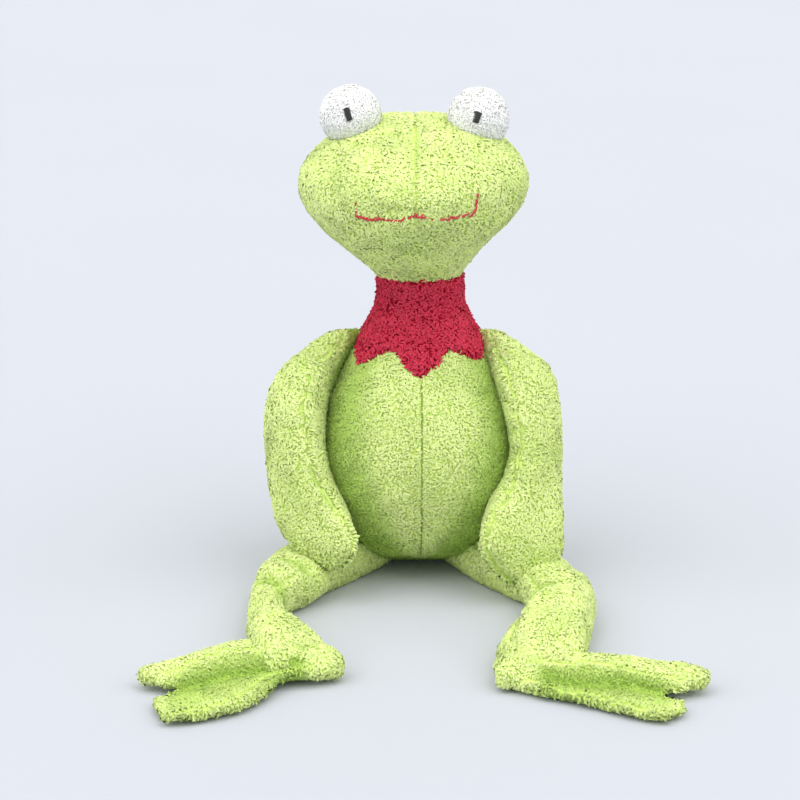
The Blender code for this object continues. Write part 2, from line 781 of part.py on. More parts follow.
def make_foot(side, shin_blank, parts, tools):
    _, _, ankle = leg_places(side)
    foot = lower_to_floor(foot_form(side, ankle, parts))
    swing = [-SIDES[side] * angle for angle in steps(*ANKLE_SWING_DEGREES)]
    cut_for_swing(foot, shin_blank, ankle, "Z", swing, tools)
    join_root(plain(foot), f"ankle_root_{side}", ankle, ANKLE_RADIUS, tools, ANKLE_HALF_HEIGHT)
    return cut(foot, floor_block(tools))


def main():
    clear_scene()
    parts = new_collection("plush_frog")
    tools = new_collection("cutters")
    tools.hide_render = True
    cover, filling, neck, trunk = make_trunk(parts, tools)
    head, head_filling, head_solid = make_head(parts, tools)
    mouth = make_mouth(head_solid, parts, tools)
    for side in SIDES:
        eye = make_eye(side, head_solid, parts, tools)
        pupil = make_pupil(side, eye, parts, tools)
        finish(eye, "white_terry")
        finish(pupil, "black_thread")
        arm = make_arm(side, (cover, filling, neck), trunk, parts, tools)
        hip, knee, ankle = leg_places(side)
        thigh, thigh_blank = make_thigh(side, (cover, filling), trunk, parts, tools)
        shin, shin_blank = make_shin(side, thigh_blank, parts, tools)
        foot = make_foot(side, shin_blank, parts, tools)
        put_origin(finish(arm, "green_terry"), shoulder_pivot(side))
        put_origin(finish(thigh, "green_terry"), hip)
        put_origin(finish(shin, "green_terry"), knee)
        put_origin(finish(foot, "green_terry"), ankle)
    finish(cover, "green_terry")
    finish(filling, "white_filling")
    finish(neck, "red_terry")
    finish(head, "green_terry")
    finish(head_filling, "white_filling")
    finish(mouth, "red_thread")


main()
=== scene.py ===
"""The looks of a seated plush frog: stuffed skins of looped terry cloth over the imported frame.

Metres in the frame's own place: +Z up, and the frog faces -Y. The left side is the side at -X,
which a viewer in front of the frog sees on the left. Tables are in millimetres, as a pattern
cutter writes them, and MM turns them into metres.
"""

import json
import math

import bmesh
import bpy
import numpy as np
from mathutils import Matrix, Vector
from mathutils.bvhtree import BVHTree

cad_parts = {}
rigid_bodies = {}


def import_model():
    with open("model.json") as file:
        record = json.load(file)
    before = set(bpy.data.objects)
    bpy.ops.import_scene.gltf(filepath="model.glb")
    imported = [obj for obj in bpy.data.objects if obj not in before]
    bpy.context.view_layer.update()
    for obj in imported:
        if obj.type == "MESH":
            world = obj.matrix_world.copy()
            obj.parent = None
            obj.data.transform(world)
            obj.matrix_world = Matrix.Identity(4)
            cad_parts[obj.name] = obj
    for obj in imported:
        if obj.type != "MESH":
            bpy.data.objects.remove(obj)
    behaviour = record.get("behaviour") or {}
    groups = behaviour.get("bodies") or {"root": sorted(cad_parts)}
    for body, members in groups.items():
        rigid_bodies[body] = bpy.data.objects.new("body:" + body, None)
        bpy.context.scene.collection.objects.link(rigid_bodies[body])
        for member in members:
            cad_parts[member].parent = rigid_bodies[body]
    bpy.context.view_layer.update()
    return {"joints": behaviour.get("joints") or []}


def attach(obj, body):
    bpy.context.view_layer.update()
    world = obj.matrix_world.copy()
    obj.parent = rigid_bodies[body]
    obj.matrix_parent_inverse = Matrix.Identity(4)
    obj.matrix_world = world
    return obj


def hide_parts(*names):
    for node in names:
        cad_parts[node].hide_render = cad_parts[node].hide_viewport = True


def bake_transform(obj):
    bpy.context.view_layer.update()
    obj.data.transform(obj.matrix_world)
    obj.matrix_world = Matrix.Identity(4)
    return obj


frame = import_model()

MM = 0.001
SIDES = {"left": -1, "right": 1}
FLOOR_GAP = 0.3

# Camera, which stands in front of the frog and looks slightly down at it
VIEW_TARGET = Vector((-0.010, 0.0, 0.089))
VIEW_DISTANCE = 1.25
VIEW_ELEVATION = 17.0
LENS_MM = 112.5
SENSOR_MM = 36.0

# Cloth: how far apart the loops stand, how long and how thick they are, in millimetres
LOOP_SPACING = 1.0
LOOP_LENGTH = 2.15
LOOP_THICK = 1.18
PILE_DEPTH = 1.3
LOOP_SIDES = 3
LOOPS_A_PATCH = 13000
# Most of a loop's shading comes from the cloth under it, so that the pile looks soft
SOFT_SHADE = 0.68
# Beside a seam the loops are combed away from it and shorter, and along a fringe they are longer
SEAM_REACH = 1.6
SEAM_COMB = 2.5
SEAM_SHORTER = 0.25
FRINGE_REACH = 3.5
FRINGE_LONGER = 0.45
# The lay, the length and the tone of the loops drift over the cloth in waves, in metres
LAY_WAVE = 0.016
LENGTH_WAVE = 0.01
TONE_WAVE = 0.03
# A loop's own twist in the bump, along it and from one to the next
YARN_TWIST = 38.0
YARN_SHIFT = 190.0

# Threads: the sides of a thread, and the stitches that close a seam
THREAD_SIDES = 6
SEAM_THREAD = 0.27
SEAM_STITCH = 2.6
SEAM_STITCH_STEP = 1.15
SEAM_STITCH_PROUD = 0.25
PUPIL_THREAD = 0.32
YARN_END = 0.45

# Filling: the cloth is simulated ten times life size, with a little more cloth than form
CLOTH_SCALE = 10
FILLING_PRESSURE = 4
FILLING_FRAMES = 20
SPARE_CLOTH = 0.055
SWELL = 0.9
SWELL_CAP = 2.2
CELL = 3.6

# Colours as they look in daylight, red, green and blue out of 255
# Each cloth's loops run from tip to root: deeper toward the root as painted shade between the loops, and
# bright at the tip as painted light on their tops
LIME_TIP = (241, 251, 178)
LIME_MID = (218, 240, 134)
LIME_ROOT = (194, 226, 104)
# The deep green of loops that are darker at random, and of the painted shade in folds, hollows and under
# the arms
LIME_DEEP_TONE_AND_PAINTED_SHADE = (134, 172, 60)
LIME_BACKING = (212, 236, 136)
RED_TIP = (228, 76, 100)
RED_MID = (198, 38, 61)
RED_ROOT = (150, 16, 38)
RED_FOLD = (170, 30, 52)
WHITE_TIP = (255, 255, 255)
WHITE_MID = (255, 255, 252)
WHITE_ROOT = (250, 247, 240)
WHITE_FOLD = (236, 232, 224)
THREAD_RED = (220, 34, 50)
THREAD_GREEN = (146, 178, 84)
THREAD_BLACK = (20, 20, 22)
FLOOR_PALE = (196, 199, 208)


# Shader maths


def linear(colour):
    """A colour out of 255 as the light that it sends back."""
    shares = [channel / 255 for channel in colour]
    return (*[s / 12.92 if s <= 0.04045 else ((s + 0.055) / 1.055) ** 2.4 for s in shares], 1.0)


class Wire:
    """A value that leaves a node, so that shader maths reads as plain sums."""

    def __init__(self, nodes, socket):
        self.nodes = nodes
        self.socket = socket

    def maths(self, operation, *values):
        return self.nodes.node("ShaderNodeMath", {"operation": operation}, values)

    def __add__(self, other):
        return self.maths("ADD", self, other)

    def __radd__(self, other):
        return self.maths("ADD", other, self)

    def __mul__(self, other):
        return self.maths("MULTIPLY", self, other)

    def __rmul__(self, other):
        return self.maths("MULTIPLY", other, self)


class Nodes:
    """A tree of nodes in the making, of a material or of the light all round."""

    def __init__(self, tree):
        self.tree = tree

    def feed(self, socket, value):
        if isinstance(value, Wire):
            self.tree.links.new(value.socket, socket)
        else:
            socket.default_value = value

    def node(self, kind, settings=None, values=(), output=0):
        """Adds a node of a kind: its settings first, then the values or wires of its sockets."""
        made = self.tree.nodes.new(kind)
        for setting, value in (settings or {}).items():
            if setting == "stops":
                self.set_stops(made.color_ramp, value)
            else:
                setattr(made, setting, value)
        pairs = values.items() if isinstance(values, dict) else enumerate(values)
        for socket, value in pairs:
            self.feed(made.inputs[socket], value)
        return Wire(self, made.outputs[output])

    def set_stops(self, ramp, stops):
        while len(ramp.elements) > 1:
            ramp.elements.remove(ramp.elements[-1])
        ramp.elements[0].position, ramp.elements[0].color = stops[0]
        for place, colour in stops[1:]:
            ramp.elements.new(place).color = colour


class Surface(Nodes):
    """A material in the making."""

    def __init__(self, name, roughness, **fixed):
        self.material = bpy.data.materials.new(name)
        self.material.use_nodes = True
        super().__init__(self.material.node_tree)
        self.shader = self.tree.nodes["Principled BSDF"]
        self.shader.inputs["Roughness"].default_value = roughness
        for socket, value in fixed.items():
            self.shader.inputs[socket.replace("_", " ")].default_value = value

    def mix(self, share, first, second):
        """A colour between two, by share."""
        return self.node("ShaderNodeMix", {"data_type": "RGBA"}, {0: share, 6: first, 7: second}, 2)

    def noise(self, scale, detail=2.0, seed=0.0):
        spot = self.node("ShaderNodeTexCoord", output=3)
        moved = self.node("ShaderNodeVectorMath", {"operation": "ADD"}, [spot, (seed, seed, seed)])
        return self.node("ShaderNodeTexNoise", None, {"Vector": moved, "Scale": scale, "Detail": detail})

    def colour(self, value):
        self.feed(self.shader.inputs["Base Color"], value)

    def bump(self, height, strength, distance):
        values = {"Height": height, "Strength": strength, "Distance": distance}
        self.feed(self.shader.inputs["Normal"], self.node("ShaderNodeBump", None, values))


def loop_cloth(name, tip, mid, root, fold):
    """The loops of terry cloth, no two alike: deeper at their feet and bright at their crowns, which
    paints the shade between the loops and the light on their tops.

    Along each loop the map runs up. Across, it runs from darker loops to brighter ones: fold is the
    deep colour of loops that are darker at random, and of painted shade where a piece marks it.
    """
    made = Surface(name, 0.9, Specular_IOR_Level=0.05)
    place = made.node("ShaderNodeUVMap", {"uv_map": "OFBake"})
    kind = made.node("ShaderNodeSeparateXYZ", None, [place], 0)
    along = made.node("ShaderNodeSeparateXYZ", None, [place], 1)
    # Painted light and shade along each loop: the foot deeper, the crown bright
    stops = ((0.0, linear(root)), (0.45, linear(mid)), (0.95, linear(tip)))
    bright = made.node("ShaderNodeValToRGB", {"stops": stops}, [along])
    # Painted shade: loops that a piece darkens lean toward the deep colour, which also gives some loops
    # a random darker tone
    deep_tone_and_painted_shade = made.mix(along, linear(root), linear(fold))
    made.colour(made.mix(kind, deep_tone_and_painted_shade, bright))
    turn = along * YARN_TWIST + kind * YARN_SHIFT
    twist = turn.maths("SINE", turn)
    made.bump(twist, 0.25, 0.0001)
    return made.material


def backing_cloth(name, mid, root):
    """The knitted ground that the loops stand on, seen between them and along the seams."""
    made = Surface(name, 0.95, Specular_IOR_Level=0.1)
    grain = made.noise(900.0, 3.0)
    patches = made.noise(45.0, 2.0, 3.1)
    made.colour(made.mix(grain * 0.6 + patches * 0.4, linear(root), linear(mid)))
    made.bump(grain, 0.5, 0.0006)
    return made.material


def thread(name, colour, shine):
    """Embroidery thread, with a fine twist along it."""
    made = Surface(name, shine, Sheen_Weight=0.3)
    fibre = made.noise(1800.0, 2.0)
    dark = tuple(channel * 0.75 for channel in colour)
    made.colour(made.mix(fibre, linear(dark), linear(colour)))
    made.bump(fibre, 0.5, 0.0002)
    return made.material


# Forms


def through(rows, count):
    """A uniform cubic B-spline through a table's rows, read at count even places."""
    table = np.array(rows, float)
    ends = np.vstack([2 * table[0] - table[1], table, 2 * table[-1] - table[-2]])
    place = np.linspace(0, len(table) - 1, count)
    index = np.minimum(place.astype(int), len(table) - 2)
    part = (place - index)[:, None]
    weights = (
        (1 - part) ** 3 / 6,
        (3 * part**3 - 6 * part**2 + 4) / 6,
        (-3 * part**3 + 3 * part**2 + 3 * part + 1) / 6,
        part**3 / 6,
    )
    return sum(weight * ends[index + step] for step, weight in enumerate(weights))


def mesh_piece(name, points, faces, materials):
    """A mesh object from an array of points and a list of faces, shaded smooth."""
    mesh = bpy.data.meshes.new(name)
    mesh.from_pydata([tuple(point) for point in points], [], faces)
    mesh.update()
    for made in materials:
        mesh.materials.append(made)
    mesh.shade_smooth()
    piece = bpy.data.objects.new(name, mesh)
    bpy.context.scene.collection.objects.link(piece)
    return piece


def bands(rows, around, start=0):
    """The faces between rings of points that are numbered one ring after another."""
    faces = []
    for row in range(rows - 1):
        low = start + row * around
        for corner in range(around):
            after = (corner + 1) % around
            faces.append((low + corner, low + after, low + around + after, low + around + corner))
    return faces


def skin(name, rings, materials):
    """A closed skin over rings of points, with a pole at each end."""
    count, around, _ = rings.shape
    points = np.vstack([rings.reshape(-1, 3), rings[0].mean(axis=0), rings[-1].mean(axis=0)])
    faces = bands(count, around)
    for corner in range(around):
        after = (corner + 1) % around
        faces.append((count * around, after, corner))
        last = (count - 1) * around
        faces.append((count * around + 1, last + corner, last + after))
    piece = mesh_piece(name, points, faces, materials)
    cage = bmesh.new()
    cage.from_mesh(piece.data)
    bmesh.ops.recalc_face_normals(cage, faces=cage.faces[:])
    cage.to_mesh(piece.data)
    cage.free()
    return piece


def ellipse_rings(centres, sides, ups, half_sides, half_ups, around):
    """Rings of points: an ellipse at each centre, in the plane of its side and up vectors."""
    angles = np.linspace(0, 2 * math.pi, around, endpoint=False)
    across = np.cos(angles)[None, :, None] * (half_sides[:, None] * sides)[:, None, :]
    upward = np.sin(angles)[None, :, None] * (half_ups[:, None] * ups)[:, None, :]
    return centres[:, None, :] + across + upward


def points_of(piece):
    points = np.empty(len(piece.data.vertices) * 3)
    piece.data.vertices.foreach_get("co", points)
    return points.reshape(-1, 3)


def normals_of(piece):
    normals = np.empty(len(piece.data.vertices) * 3)
    piece.data.vertices.foreach_get("normal", normals)
    return normals.reshape(-1, 3)


def set_points(piece, points):
    piece.data.vertices.foreach_set("co", np.ascontiguousarray(points, float).ravel())
    piece.data.update()
    return piece


def apply_modifiers(piece):
    graph = bpy.context.evaluated_depsgraph_get()
    mesh = bpy.data.meshes.new_from_object(piece.evaluated_get(graph))
    piece.modifiers.clear()
    piece.data = mesh
    piece.data.shade_smooth()
    return piece


def subdivided(piece, levels):
    step = piece.modifiers.new("soft", "SUBSURF")
    step.levels = levels
    step.render_levels = levels
    return apply_modifiers(piece)


def lifted_off_floor(points):
    """Flattens whatever lies below the floor."""
    return np.column_stack([points[:, :2], np.maximum(points[:, 2], FLOOR_GAP * MM)])


def bell(distance, width):
    """A smooth bump of height 1 that fades out over width."""
    return np.exp(-((distance / width) ** 2))


def step_up(value):
    """A smooth step from 0 to 1 while value goes from 0 to 1."""
    share = np.clip(value, 0, 1)
    return share * share * (3 - 2 * share)


class Drift:
    """Smooth random waves through space, for lay and tone that change slowly over the cloth."""

    WAVES = 7

    def __init__(self, seed, wavelength):
        rng = np.random.default_rng(seed)
        heading = rng.normal(size=(self.WAVES, 3))
        heading /= np.linalg.norm(heading, axis=1, keepdims=True)
        self.turns = heading * (2 * math.pi / wavelength) * rng.uniform(0.6, 1.5, (self.WAVES, 1))
        self.starts = rng.uniform(0, 2 * math.pi, self.WAVES)

    def at(self, points):
        return np.sin(points @ self.turns.T + self.starts).sum(axis=1) / math.sqrt(self.WAVES)


def one_skin(piece, cell):
    """Draws whatever forms a piece holds together under one even skin."""
    draw = piece.modifiers.new("one skin", "REMESH")
    draw.mode = "VOXEL"
    draw.voxel_size = cell * MM
    cloth = piece.data.materials[0]
    apply_modifiers(piece)
    piece.data.materials.clear()
    piece.data.materials.append(cloth)
    return piece


def stuffed(piece, sewn=None, cell=CELL, cap=SWELL_CAP, spare=SPARE_CLOTH):
    """Lets the filling press a skin out from inside by simulation, with a little spare cloth.

    sewn says how firmly each point is held, from 0 to 1, and cap how far a point may move.
    """
    one_skin(piece, cell)
    before = points_of(piece)
    set_points(piece, before * CLOTH_SCALE)
    cloth = piece.modifiers.new("filling", "CLOTH")
    if sewn is not None:
        group = piece.vertex_groups.new(name="sewn")
        for index, share in enumerate(sewn(before)):
            if share > 0.01:
                group.add([index], float(share), "REPLACE")
        cloth.settings.vertex_group_mass = group.name
    cloth.settings.use_pressure = True
    cloth.settings.uniform_pressure_force = FILLING_PRESSURE
    cloth.settings.effector_weights.gravity = 0
    cloth.settings.shrink_min = -spare
    cloth.point_cache.frame_start = 1
    cloth.point_cache.frame_end = FILLING_FRAMES
    for frame_number in range(1, FILLING_FRAMES + 1):
        bpy.context.scene.frame_set(frame_number)
    apply_modifiers(piece)
    piece.vertex_groups.clear()
    moved = points_of(piece) / CLOTH_SCALE - before
    far = np.linalg.norm(moved, axis=1, keepdims=True)
    moved *= np.minimum(1, cap * MM / np.maximum(far, 1e-9))
    set_points(piece, before + moved)
    bpy.context.scene.frame_set(1)
    return subdivided(piece, 2)


def nearest_on(points, route):
    """The nearest place to each point on the line through a route's points."""
    nearest = np.zeros_like(points)
    shortest = np.full(len(points), np.inf)
    for start, end in zip(route[:-1], route[1:]):
        along = end - start
        share = np.clip((points - start) @ along / max(along @ along, 1e-12), 0, 1)
        place = start + share[:, None] * along
        gap = np.linalg.norm(points - place, axis=1)
        closer = gap < shortest
        nearest[closer], shortest[closer] = place[closer], gap[closer]
    return nearest, shortest


def tree_of(piece):
    faces = [tuple(face.vertices) for face in piece.data.polygons]
    return BVHTree.FromPolygons([tuple(point) for point in points_of(piece)], faces)


def laid_on(piece, route):
    """A route in millimetres, brought onto the nearest cloth of a piece, in metres."""
    surface = tree_of(piece)
    return np.array([surface.find_nearest(Vector(point) * MM)[0] for point in route])


def pressed(piece, routes, depth, width):
    """Presses grooves, or folds where depth is less than nothing, into a skin along routes."""
    points, normals = points_of(piece), normals_of(piece)
    for route in routes:
        sink = bell(nearest_on(points, route)[1], width * MM) * depth * MM
        points = points - normals * sink[:, None]
    return set_points(piece, points)


def seamed(piece, routes, depth, width):
    """Presses seams into a skin along routes in millimetres, and gives the lines that they follow."""
    pressed(piece, [laid_on(piece, route) for route in routes], depth, width)
    return [laid_on(piece, route) for route in routes]


# Loops


def scattered(piece, spacing, seed):
    """Evenly spread random spots on a skin, with the cloth's normals there."""
    rng = np.random.default_rng(seed)
    mesh = piece.data
    mesh.calc_loop_triangles()
    corners = np.empty(len(mesh.loop_triangles) * 3, int)
    mesh.loop_triangles.foreach_get("vertices", corners)
    corners = corners.reshape(-1, 3)
    points, normals = points_of(piece), normals_of(piece)
    one, two, three = (points[corners[:, corner]] for corner in range(3))
    areas = np.linalg.norm(np.cross(two - one, three - one), axis=1) / 2
    tries = int(areas.sum() / spacing**2 * 4)
    steps = (np.arange(tries) + rng.random(tries)) / tries * areas.sum()
    chosen = np.minimum(np.searchsorted(np.cumsum(areas), steps), len(areas) - 1)
    first, second = np.sqrt(rng.random(tries)), rng.random(tries)
    shares = np.column_stack([1 - first, first * (1 - second), first * second])
    spots = np.einsum("ij,ijk->ik", shares, points[corners[chosen]])
    ups = np.einsum("ij,ijk->ik", shares, normals[corners[chosen]])
    ups /= np.linalg.norm(ups, axis=1, keepdims=True)
    order = rng.permutation(tries)
    cells = np.floor(spots[order] / spacing).astype(int)
    _, kept = np.unique(cells, axis=0, return_index=True)
    return spots[order[kept]], ups[order[kept]]


# A loop's course: up, out and aside as shares of its reach, its girth, and its place on the map
LOOP_COURSE = (
    (-0.15, 0.00, 0.0, 0.85, 0.0),
    (0.65, 0.35, 0.4, 1.00, 0.5),
    (0.88, 0.80, 1.1, 0.85, 0.9),
    (0.70, 1.05, 1.5, 0.00, 1.0),
)


def loops(
    name, piece, cloth, seed, spacing=LOOP_SPACING, length=LOOP_LENGTH, thick=LOOP_THICK,
    keep=None, seams=(), fringes=(), bare=0.0, painted_shade=None,
):
    """The pile of a skin: short thick loops that rise from it, bend over and lie at random.

    keep says where it grows, bare how much ground stays free beside a seam, and painted_shade how
    much painted shade darkens the loops, from 0 to 1.
    """
    rng = np.random.default_rng(seed)
    spots, ups = scattered(piece, spacing * MM, seed)
    reach_share, beside_seam = np.ones(len(spots)), np.zeros(len(spots))
    combed = np.zeros_like(spots)
    wanted = np.ones(len(spots), bool) if keep is None else keep(spots)
    for seam in seams:
        place, gap = nearest_on(spots, seam)
        wanted &= gap > bare * MM
        near = bell(gap, SEAM_REACH * MM)
        reach_share *= 1 - SEAM_SHORTER * near
        beside_seam = np.maximum(beside_seam, near)
        combed += (spots - place) / np.maximum(gap, 1e-6)[:, None] * near[:, None] * SEAM_COMB
    for fringe in fringes:
        place, gap = nearest_on(spots, fringe)
        reach_share *= 1 + FRINGE_LONGER * bell(gap, FRINGE_REACH * MM)
    spots, ups, reach_share, beside_seam, combed = (
        kind[wanted] for kind in (spots, ups, reach_share, beside_seam, combed)
    )
    count = len(spots)
    heading = np.column_stack([Drift(seed + axis, LAY_WAVE).at(spots) for axis in (1, 2, 3)])
    heading += rng.normal(size=(count, 3)) * (0.9 - 0.7 * beside_seam)[:, None] + combed
    heading -= ups * np.sum(heading * ups, axis=1, keepdims=True)
    heading /= np.linalg.norm(heading, axis=1, keepdims=True) + 1e-9
    sideways = np.cross(ups, heading)
    reach = length * MM * rng.uniform(0.75, 1.25, count) * reach_share
    reach *= 1 + 0.15 * Drift(seed + 7, LENGTH_WAVE).at(spots)
    rise = rng.uniform(0.3, 0.58, count)
    curl = rng.normal(size=count) * 0.25
    half = thick * MM / 2 * rng.uniform(0.8, 1.2, count)
    angles = np.arange(LOOP_SIDES) * 2 * math.pi / LOOP_SIDES
    rings, facing = [], []
    for up_share, out_share, curl_share, girth, _ in LOOP_COURSE:
        centre = spots + ups * (reach * rise * up_share)[:, None]
        centre = centre + heading * (reach * out_share * 0.85)[:, None]
        centre = centre + sideways * (reach * curl * curl_share)[:, None]
        lean = math.pi / 2 - out_share * 1.1
        across = ups * math.cos(lean) - heading * math.sin(lean)
        for angle in angles if girth else angles[:1]:
            offset = sideways * math.cos(angle) + across * math.sin(angle)
            rings.append(centre + offset * (half * girth)[:, None])
            facing.append(offset * (1 - SOFT_SHADE) + ups * SOFT_SHADE)
    points, facing = np.stack(rings, axis=1), np.stack(facing, axis=1)
    points[:, :, 2] = np.maximum(points[:, :, 2], 0.2 * MM)
    shade = rng.uniform(0.66, 1.0, count) + 0.08 * Drift(seed + 9, TONE_WAVE).at(spots)
    # Painted shade: where a piece marks it, in folds, hollows and under the arms, its loops are darker
    if painted_shade is not None:
        shade *= 1 - painted_shade(spots)
    across_map = np.clip(shade, 0.0, 1.0)[:, None] * 0.97
    turn = np.append(np.tile(np.arange(LOOP_SIDES) / LOOP_SIDES, len(LOOP_COURSE) - 1), 0.5)
    across_map = across_map + turn * 0.03
    climb = [row[4] for row in LOOP_COURSE]
    up_map = np.append(np.repeat(climb[:-1], LOOP_SIDES), climb[-1])
    order = np.argsort(spots[:, 2])
    patches = np.array_split(order, max(1, math.ceil(count / LOOPS_A_PATCH)))
    return [
        tufts(f"{name}_{number}", points[patch], facing[patch], across_map[patch], up_map, cloth)
        for number, patch in enumerate(patches, 1)
    ]


def tufts(name, points, facing, across_map, up_map, cloth):
    """A mesh of many loops of one pattern, laid out from arrays in one go, with its own map."""
    count, each, _ = points.shape
    levels = (each - 1) // LOOP_SIDES - 1
    corner = np.arange(LOOP_SIDES)
    after = (corner + 1) % LOOP_SIDES
    quads = np.vstack([
        np.column_stack([corner, after, after + LOOP_SIDES, corner + LOOP_SIDES]) + level * LOOP_SIDES
        for level in range(levels)
    ])
    last = levels * LOOP_SIDES
    caps = np.column_stack([corner + last, after + last, np.full(LOOP_SIDES, each - 1)])
    starts = (np.arange(count) * each)[:, None, None]
    corners = np.concatenate([(starts + quads).reshape(-1), (starts + caps).reshape(-1)])
    sizes = np.concatenate([np.full(count * len(quads), 4), np.full(count * len(caps), 3)])
    mesh = bpy.data.meshes.new(name)
    mesh.vertices.add(count * each)
    mesh.vertices.foreach_set("co", points.ravel())
    mesh.loops.add(len(corners))
    mesh.loops.foreach_set("vertex_index", corners.astype(np.int32))
    mesh.polygons.add(len(sizes))
    begins = np.concatenate([[0], np.cumsum(sizes)[:-1]])
    mesh.polygons.foreach_set("loop_start", begins.astype(np.int32))
    mesh.update(calc_edges=True)
    layer = mesh.uv_layers.new(name="OFBake")
    placed = np.column_stack([across_map.reshape(-1)[corners], np.tile(up_map, count)[corners]])
    layer.data.foreach_set("uv", placed.ravel())
    mesh.materials.append(cloth)
    mesh.shade_smooth()
    mesh.normals_split_custom_set_from_vertices(facing.reshape(-1, 3))
    piece = bpy.data.objects.new(name, mesh)
    bpy.context.scene.collection.objects.link(piece)
    return piece


def stitch_tube(name, routes, radius, cloth):
    """Threads: a round tube along each route, all in one mesh, with rounded ends."""
    points, faces = [], []
    for route in routes:
        route = np.array(route, float)
        ahead = np.gradient(route, axis=0)
        ahead /= np.linalg.norm(ahead, axis=1, keepdims=True)
        aside = np.cross(ahead, np.array([0.31, 0.52, 0.79]))
        aside /= np.linalg.norm(aside, axis=1, keepdims=True)
        above = np.cross(ahead, aside)
        count = len(route)
        taper = np.sin(np.clip((np.arange(count) + 0.5) / count, 0.12, 0.88) * math.pi) ** 0.35
        start = len(points)
        for index in range(count):
            for corner in range(THREAD_SIDES):
                angle = 2 * math.pi * corner / THREAD_SIDES
                offset = aside[index] * math.cos(angle) + above[index] * math.sin(angle)
                points.append(route[index] + offset * radius * taper[index])
        faces += bands(count, THREAD_SIDES, start)
        faces.append(tuple(start + corner for corner in reversed(range(THREAD_SIDES))))
        last = start + (count - 1) * THREAD_SIDES
        faces.append(tuple(last + corner for corner in range(THREAD_SIDES)))
    return mesh_piece(name, points, faces, [cloth])


def sewn_line(name, piece, route, cloth):
    """A line of small stitches that shows in a seam's groove."""
    lengths = np.concatenate([[0], np.cumsum(np.linalg.norm(np.diff(route, axis=0), axis=1))])
    surface = tree_of(piece)
    stitches = []
    for start in np.arange(0, lengths[-1] - SEAM_STITCH * MM, SEAM_STITCH * SEAM_STITCH_STEP * MM):
        points = []
        for share in np.linspace(0, 1, 5):
            at = start + share * SEAM_STITCH * MM
            place = Vector([np.interp(at, lengths, route[:, axis]) for axis in range(3)])
            spot, normal, _, _ = surface.find_nearest(place)
            proud = SEAM_STITCH_PROUD + 0.35 * math.sin(share * math.pi)
            points.append(spot + normal * proud * MM)
        stitches.append(points)
    return stitch_tube(name, stitches, SEAM_THREAD * MM, cloth)


# Materials

LIME_LOOPS = loop_cloth("lime_loops", LIME_TIP, LIME_MID, LIME_ROOT, LIME_DEEP_TONE_AND_PAINTED_SHADE)
RED_LOOPS = loop_cloth("red_loops", RED_TIP, RED_MID, RED_ROOT, RED_FOLD)
WHITE_LOOPS = loop_cloth("white_loops", WHITE_TIP, WHITE_MID, WHITE_ROOT, WHITE_FOLD)
LIME_GROUND = backing_cloth("lime_ground", LIME_MID, LIME_BACKING)
RED_GROUND = backing_cloth("red_ground", RED_MID, RED_ROOT)
WHITE_GROUND = backing_cloth("white_ground", WHITE_MID, WHITE_ROOT)
RED_THREAD = thread("red_thread", THREAD_RED, 0.55)
GREEN_THREAD = thread("green_thread", THREAD_GREEN, 0.8)
BLACK_THREAD = thread("black_thread", THREAD_BLACK, 0.45)


# Trunk: torso and neck. Height, half width, half depth and how far back the middle lies

TRUNK_ROWS = (
    (0.0, 9, 8, 12),
    (0.5, 17, 14, 11.5),
    (6.0, 28, 23, 10.0),
    (19.5, 39, 33, 4.5),
    (41.0, 48.5, 42.5, -1.8),
    (67.0, 51.3, 45.0, -4.4),
    (90.0, 46.3, 39.4, -1.8),
    (110.0, 38.8, 32.4, 0.0),
    (125.4, 28.8, 26.2, 0.0),
    (135.7, 21.8, 20.6, 0.0),
    (148.4, 20.7, 19.4, 0.0),
    (168.4, 22.4, 20.2, 0.0),
)
NECK_SEAM = 153.5
NECK_TILT = 2.2
# Heights of the zigzag's six tips, from the front one round by the right
ZIGZAG_TIPS = (109.6, 114.5, 111, 110.5, 111, 112)
ZIGZAG_VALLEY = 122.5
# The seams down the belly and the back: how far round from the front, and from where to where up
TRUNK_SEAM_TURNS = (0.6 / 45, math.pi)
TRUNK_SEAM_LEVELS = (12, 109)
UNDERSIDE_RISE = 0.46
SEAT_FRONT = 17


def trunk_at(heights, angles, grow=0.0):
    """Points of the trunk's skin at heights in millimetres and angles round from the front."""
    dense = through(TRUNK_ROWS, 400)
    wide, deep, back = (np.interp(heights, dense[:, 0], dense[:, column]) for column in (1, 2, 3))
    x = np.sin(angles) * (wide - PILE_DEPTH + grow)
    y = back - np.cos(angles) * (deep - PILE_DEPTH + grow)
    z = np.maximum(heights, UNDERSIDE_RISE * (SEAT_FRONT - y)) + 0 * x
    return np.stack([x, y, z], axis=-1) * MM


def zigzag_at(angles):
    """The height of the zigzag seam at angles round from the front, which has a tip."""
    turns = np.mod(angles / (2 * math.pi), 1.0) * len(ZIGZAG_TIPS)
    tips = np.array(ZIGZAG_TIPS)[np.round(turns).astype(int) % len(ZIGZAG_TIPS)]
    valley = 1 - np.abs(np.mod(turns, 1.0) - 0.5) * 2
    return tips + (ZIGZAG_VALLEY - tips) * valley


def turn_of(spots):
    return np.arctan2(spots[:, 0], -spots[:, 1])


